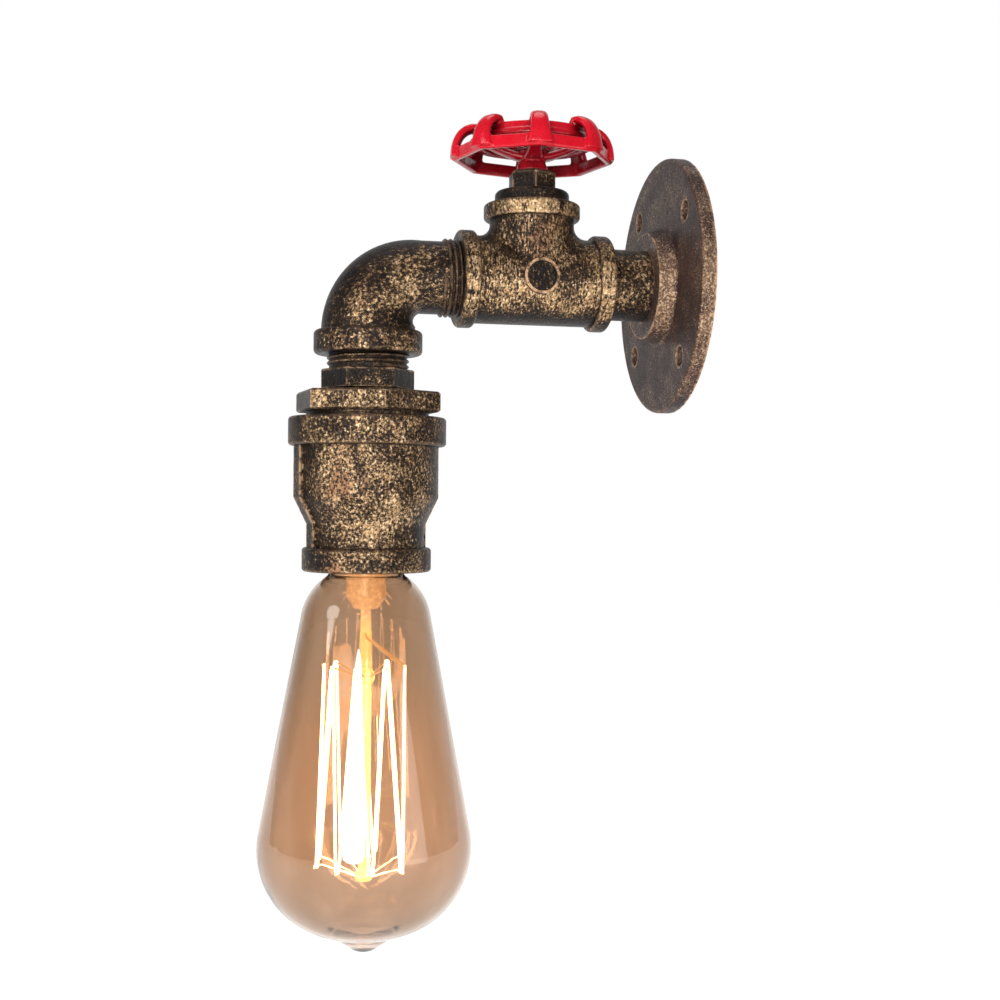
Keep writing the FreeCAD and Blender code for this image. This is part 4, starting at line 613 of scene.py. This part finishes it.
def ring_of(profile, steps):
    """Closed ring through a profile's points, each pulled out to the octagon by its share."""
    verts = []
    part = math.tau / LOBES
    for step in range(steps):
        angle = step * math.tau / steps
        off_corner = (angle + part / 2) % part - part / 2
        octagon = 1 / math.cos(part / 2 - abs(off_corner))
        for reach, height, share in profile:
            out = reach * (1 + (octagon - 1) * share)
            verts.append((out * math.cos(angle), out * math.sin(angle), height))
    return verts, tube_faces(steps, len(profile), closed=True)


def bar_of(path, sections, angle):
    """A bar of rounded section along a path in the upright plane at angle."""
    verts = []
    for index, (reach, height) in enumerate(path):
        before, after = path[max(index - 1, 0)], path[min(index + 1, len(path) - 1)]
        run = Vector((after[0] - before[0], after[1] - before[1])).normalized()
        half_wide, half_high = sections[index]
        for k in range(BAR_SIDES):
            turn = (k + 0.5) * math.tau / BAR_SIDES
            aside, rise = (math.copysign(abs(part) ** BAR_ROUNDNESS, part)
                           for part in (math.cos(turn), math.sin(turn)))
            out, z = reach - run.y * rise * half_high, height + run.x * rise * half_high
            verts.append((out * math.cos(angle) - aside * half_wide * math.sin(angle),
                          out * math.sin(angle) + aside * half_wide * math.cos(angle), z))
    return verts, tube_faces(len(path), BAR_SIDES, closed=False)


def lobe_bar():
    """A lobe's path and sections: up the band, over in a full shoulder and down on to the bead."""
    across, up = LOBE_AXIS
    half_wide, half_high = LOBE_SECTION
    path, sections = [], []
    for degree in LOBE_DEGREES:
        turn = math.radians(degree)
        lean, lift = math.cos(turn) ** LOBE_FULLNESS, math.sin(turn) ** LOBE_FULLNESS
        path.append((across + LOBE_REACH * lean, up + LOBE_RISE * lift))
        sections.append((half_wide + LOBE_FOOT * (1 - lift) ** 2, half_high))
    return path + LOBE_END, sections + [LOBE_SECTION] * len(LOBE_END)


def make_handwheel(material):
    """The cast wheel: its members are merged into one skin and softened like a painted casting."""
    shapes = [ring_of(BAND_PROFILE, RING_STEPS), ring_of(BEAD_PROFILE, RING_STEPS),
              ring_of(HUB_PROFILE, HUB_STEPS)]
    path, sections = lobe_bar()
    shapes += [bar_of(path, sections, index * math.tau / LOBES) for index in range(LOBES)]
    shapes += [bar_of(SPOKE_PATH, SPOKE_SECTIONS, index * math.tau / SPOKES)
               for index in range(SPOKES)]
    turned = Matrix.Rotation(WHEEL_TURN, 4, "Z") @ Matrix.Scale(MM, 4)
    place = Matrix.Translation((0, VALVE_Y, 0)) @ turned
    verts, faces = [], []
    for shape_verts, shape_faces in shapes:
        start = len(verts)
        verts += [place @ Vector(point) for point in shape_verts]
        faces += [tuple(start + k for k in face) for face in shape_faces]
    wheel = mesh_piece("wheel_casting", verts, faces, material, "valve_wheel")
    merge = wheel.modifiers.new("merge", "REMESH")
    merge.mode = "VOXEL"
    merge.voxel_size = WHEEL_VOXEL * MM
    soften = wheel.modifiers.new("soften", "SMOOTH")
    soften.factor, soften.iterations = 0.5, WHEEL_SOFTENING
    bpy.context.view_layer.update()
    graph = bpy.context.evaluated_depsgraph_get()
    skin = bpy.data.meshes.new_from_object(wheel.evaluated_get(graph))
    wheel.modifiers.clear()
    wheel.data = skin
    skin.shade_smooth()
    if not skin.materials:
        skin.materials.append(material)
    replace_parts(wheel, "handwheel")


# Stage: a pale floor below the lamp, a white studio and soft lamps
FLOOR_Z = -310 * MM
FLOOR_HALF = 2500 * MM
FLOOR_TONES = ((0.80, 0.80, 0.80), (0.83, 0.83, 0.83))
FLOOR_LIGHT = 0.80
AMBIENT = 0.30
STUDIO_DARK, STUDIO_WHITE = 0.09, 1.0
STUDIO_TURNS_WHITE = (0.20, 0.98)

# Lamps: name, place forward, to the right and up from the lamp's middle, size and watts
LAMP_MIDDLE = Vector((0, -75, -85)) * MM
LAMPS = (
    ("key", (-0.85, -0.12, 0.02), 0.34, 6.5),
    ("side", (-0.45, -0.80, 0.35), 0.40, 2.2),
    ("fill", (-0.50, 0.75, -0.10), 0.50, 1.5),
    ("top", (0.10, 0.0, 0.95), 0.60, 2.6))


def sees_background(tree):
    """1 for a ray that shows the background: from the camera, by gloss or through glass."""
    path = tree.nodes.new("ShaderNodeLightPath")
    total = path.outputs["Is Camera Ray"]
    for name in ("Is Glossy Ray", "Is Transmission Ray"):
        both = tree.nodes.new("ShaderNodeMath")
        both.operation = "MAXIMUM"
        tree.links.new(total, both.inputs[0])
        tree.links.new(path.outputs[name], both.inputs[1])
        total = both.outputs[0]
    return total, path


def add_floor():
    f = Finish("studio_floor")
    seen, _ = sees_background(f.tree)
    f.set(Base_Color=f.mix(f.noise(60.0, 2.0), *FLOOR_TONES), Roughness=0.9, Specular_IOR_Level=0.0)
    f.set(Emission_Color=(1.0, 1.0, 1.0, 1.0), Emission_Strength=f.times(seen, FLOOR_LIGHT))
    verts = [(x, y, FLOOR_Z) for x in (-FLOOR_HALF, FLOOR_HALF) for y in (-FLOOR_HALF, FLOOR_HALF)]
    data = bpy.data.meshes.new("studio_floor")
    data.from_pydata(verts, [], [(0, 2, 3, 1)])
    data.materials.append(f.material)
    floor = bpy.data.objects.new("studio_floor", data)
    bpy.context.scene.collection.objects.link(floor)


def add_world(forward):
    """White to the camera and through glass; gloss sees a studio darker on the camera's side."""
    world = bpy.data.worlds.new("studio")
    bpy.context.scene.world = world
    world.use_nodes = True
    tree = world.node_tree
    seen, path = sees_background(tree)
    place = tree.nodes.new("ShaderNodeTexCoord")
    toward = tree.nodes.new("ShaderNodeVectorMath")
    toward.operation = "DOT_PRODUCT"
    tree.links.new(place.outputs["Generated"], toward.inputs[0])
    toward.inputs[1].default_value = tuple(forward)
    shade = tree.nodes.new("ShaderNodeMapRange")
    shade.interpolation_type = "SMOOTHSTEP"
    tree.links.new(toward.outputs["Value"], shade.inputs[0])
    for socket, number in zip(shade.inputs[1:5], (*STUDIO_TURNS_WHITE, STUDIO_DARK, STUDIO_WHITE)):
        socket.default_value = number

    def choose(share, at_none, at_full):
        mix = tree.nodes.new("ShaderNodeMix")
        tree.links.new(share, mix.inputs[0])
        mix.inputs[2].default_value = at_none
        tree.links.new(at_full, mix.inputs[3])
        return mix.outputs[0]

    shown = choose(path.outputs["Is Glossy Ray"], STUDIO_WHITE, shade.outputs[0])
    back = tree.nodes["Background"]
    back.inputs["Color"].default_value = (1, 1, 1, 1)
    tree.links.new(choose(seen, AMBIENT, shown), back.inputs["Strength"])


def add_lamps(forward, right):
    for name, (ahead, aside, above), size, watts in LAMPS:
        place = forward * ahead + right * aside + UP * above
        data = bpy.data.lights.new(name, "AREA")
        data.shape = "DISK"
        data.size = size
        data.energy = watts
        lamp = bpy.data.objects.new(name, data)
        bpy.context.scene.collection.objects.link(lamp)
        lamp.location = LAMP_MIDDLE + place
        lamp.rotation_euler = (-place).to_track_quat("-Z", "Y").to_euler()


bpy.context.scene.view_settings.view_transform = "Standard"
camera_forward, camera_right = add_camera()
finishes = make_finishes()
dress(finishes)
make_threads(finishes["thread_bronze"])
make_handwheel(finishes["red_paint"])
make_filament(finishes["filament_wire"])
make_screw_shells(finishes["nickel_brass"])
add_floor()
add_world(camera_forward)
add_lamps(camera_forward, camera_right)
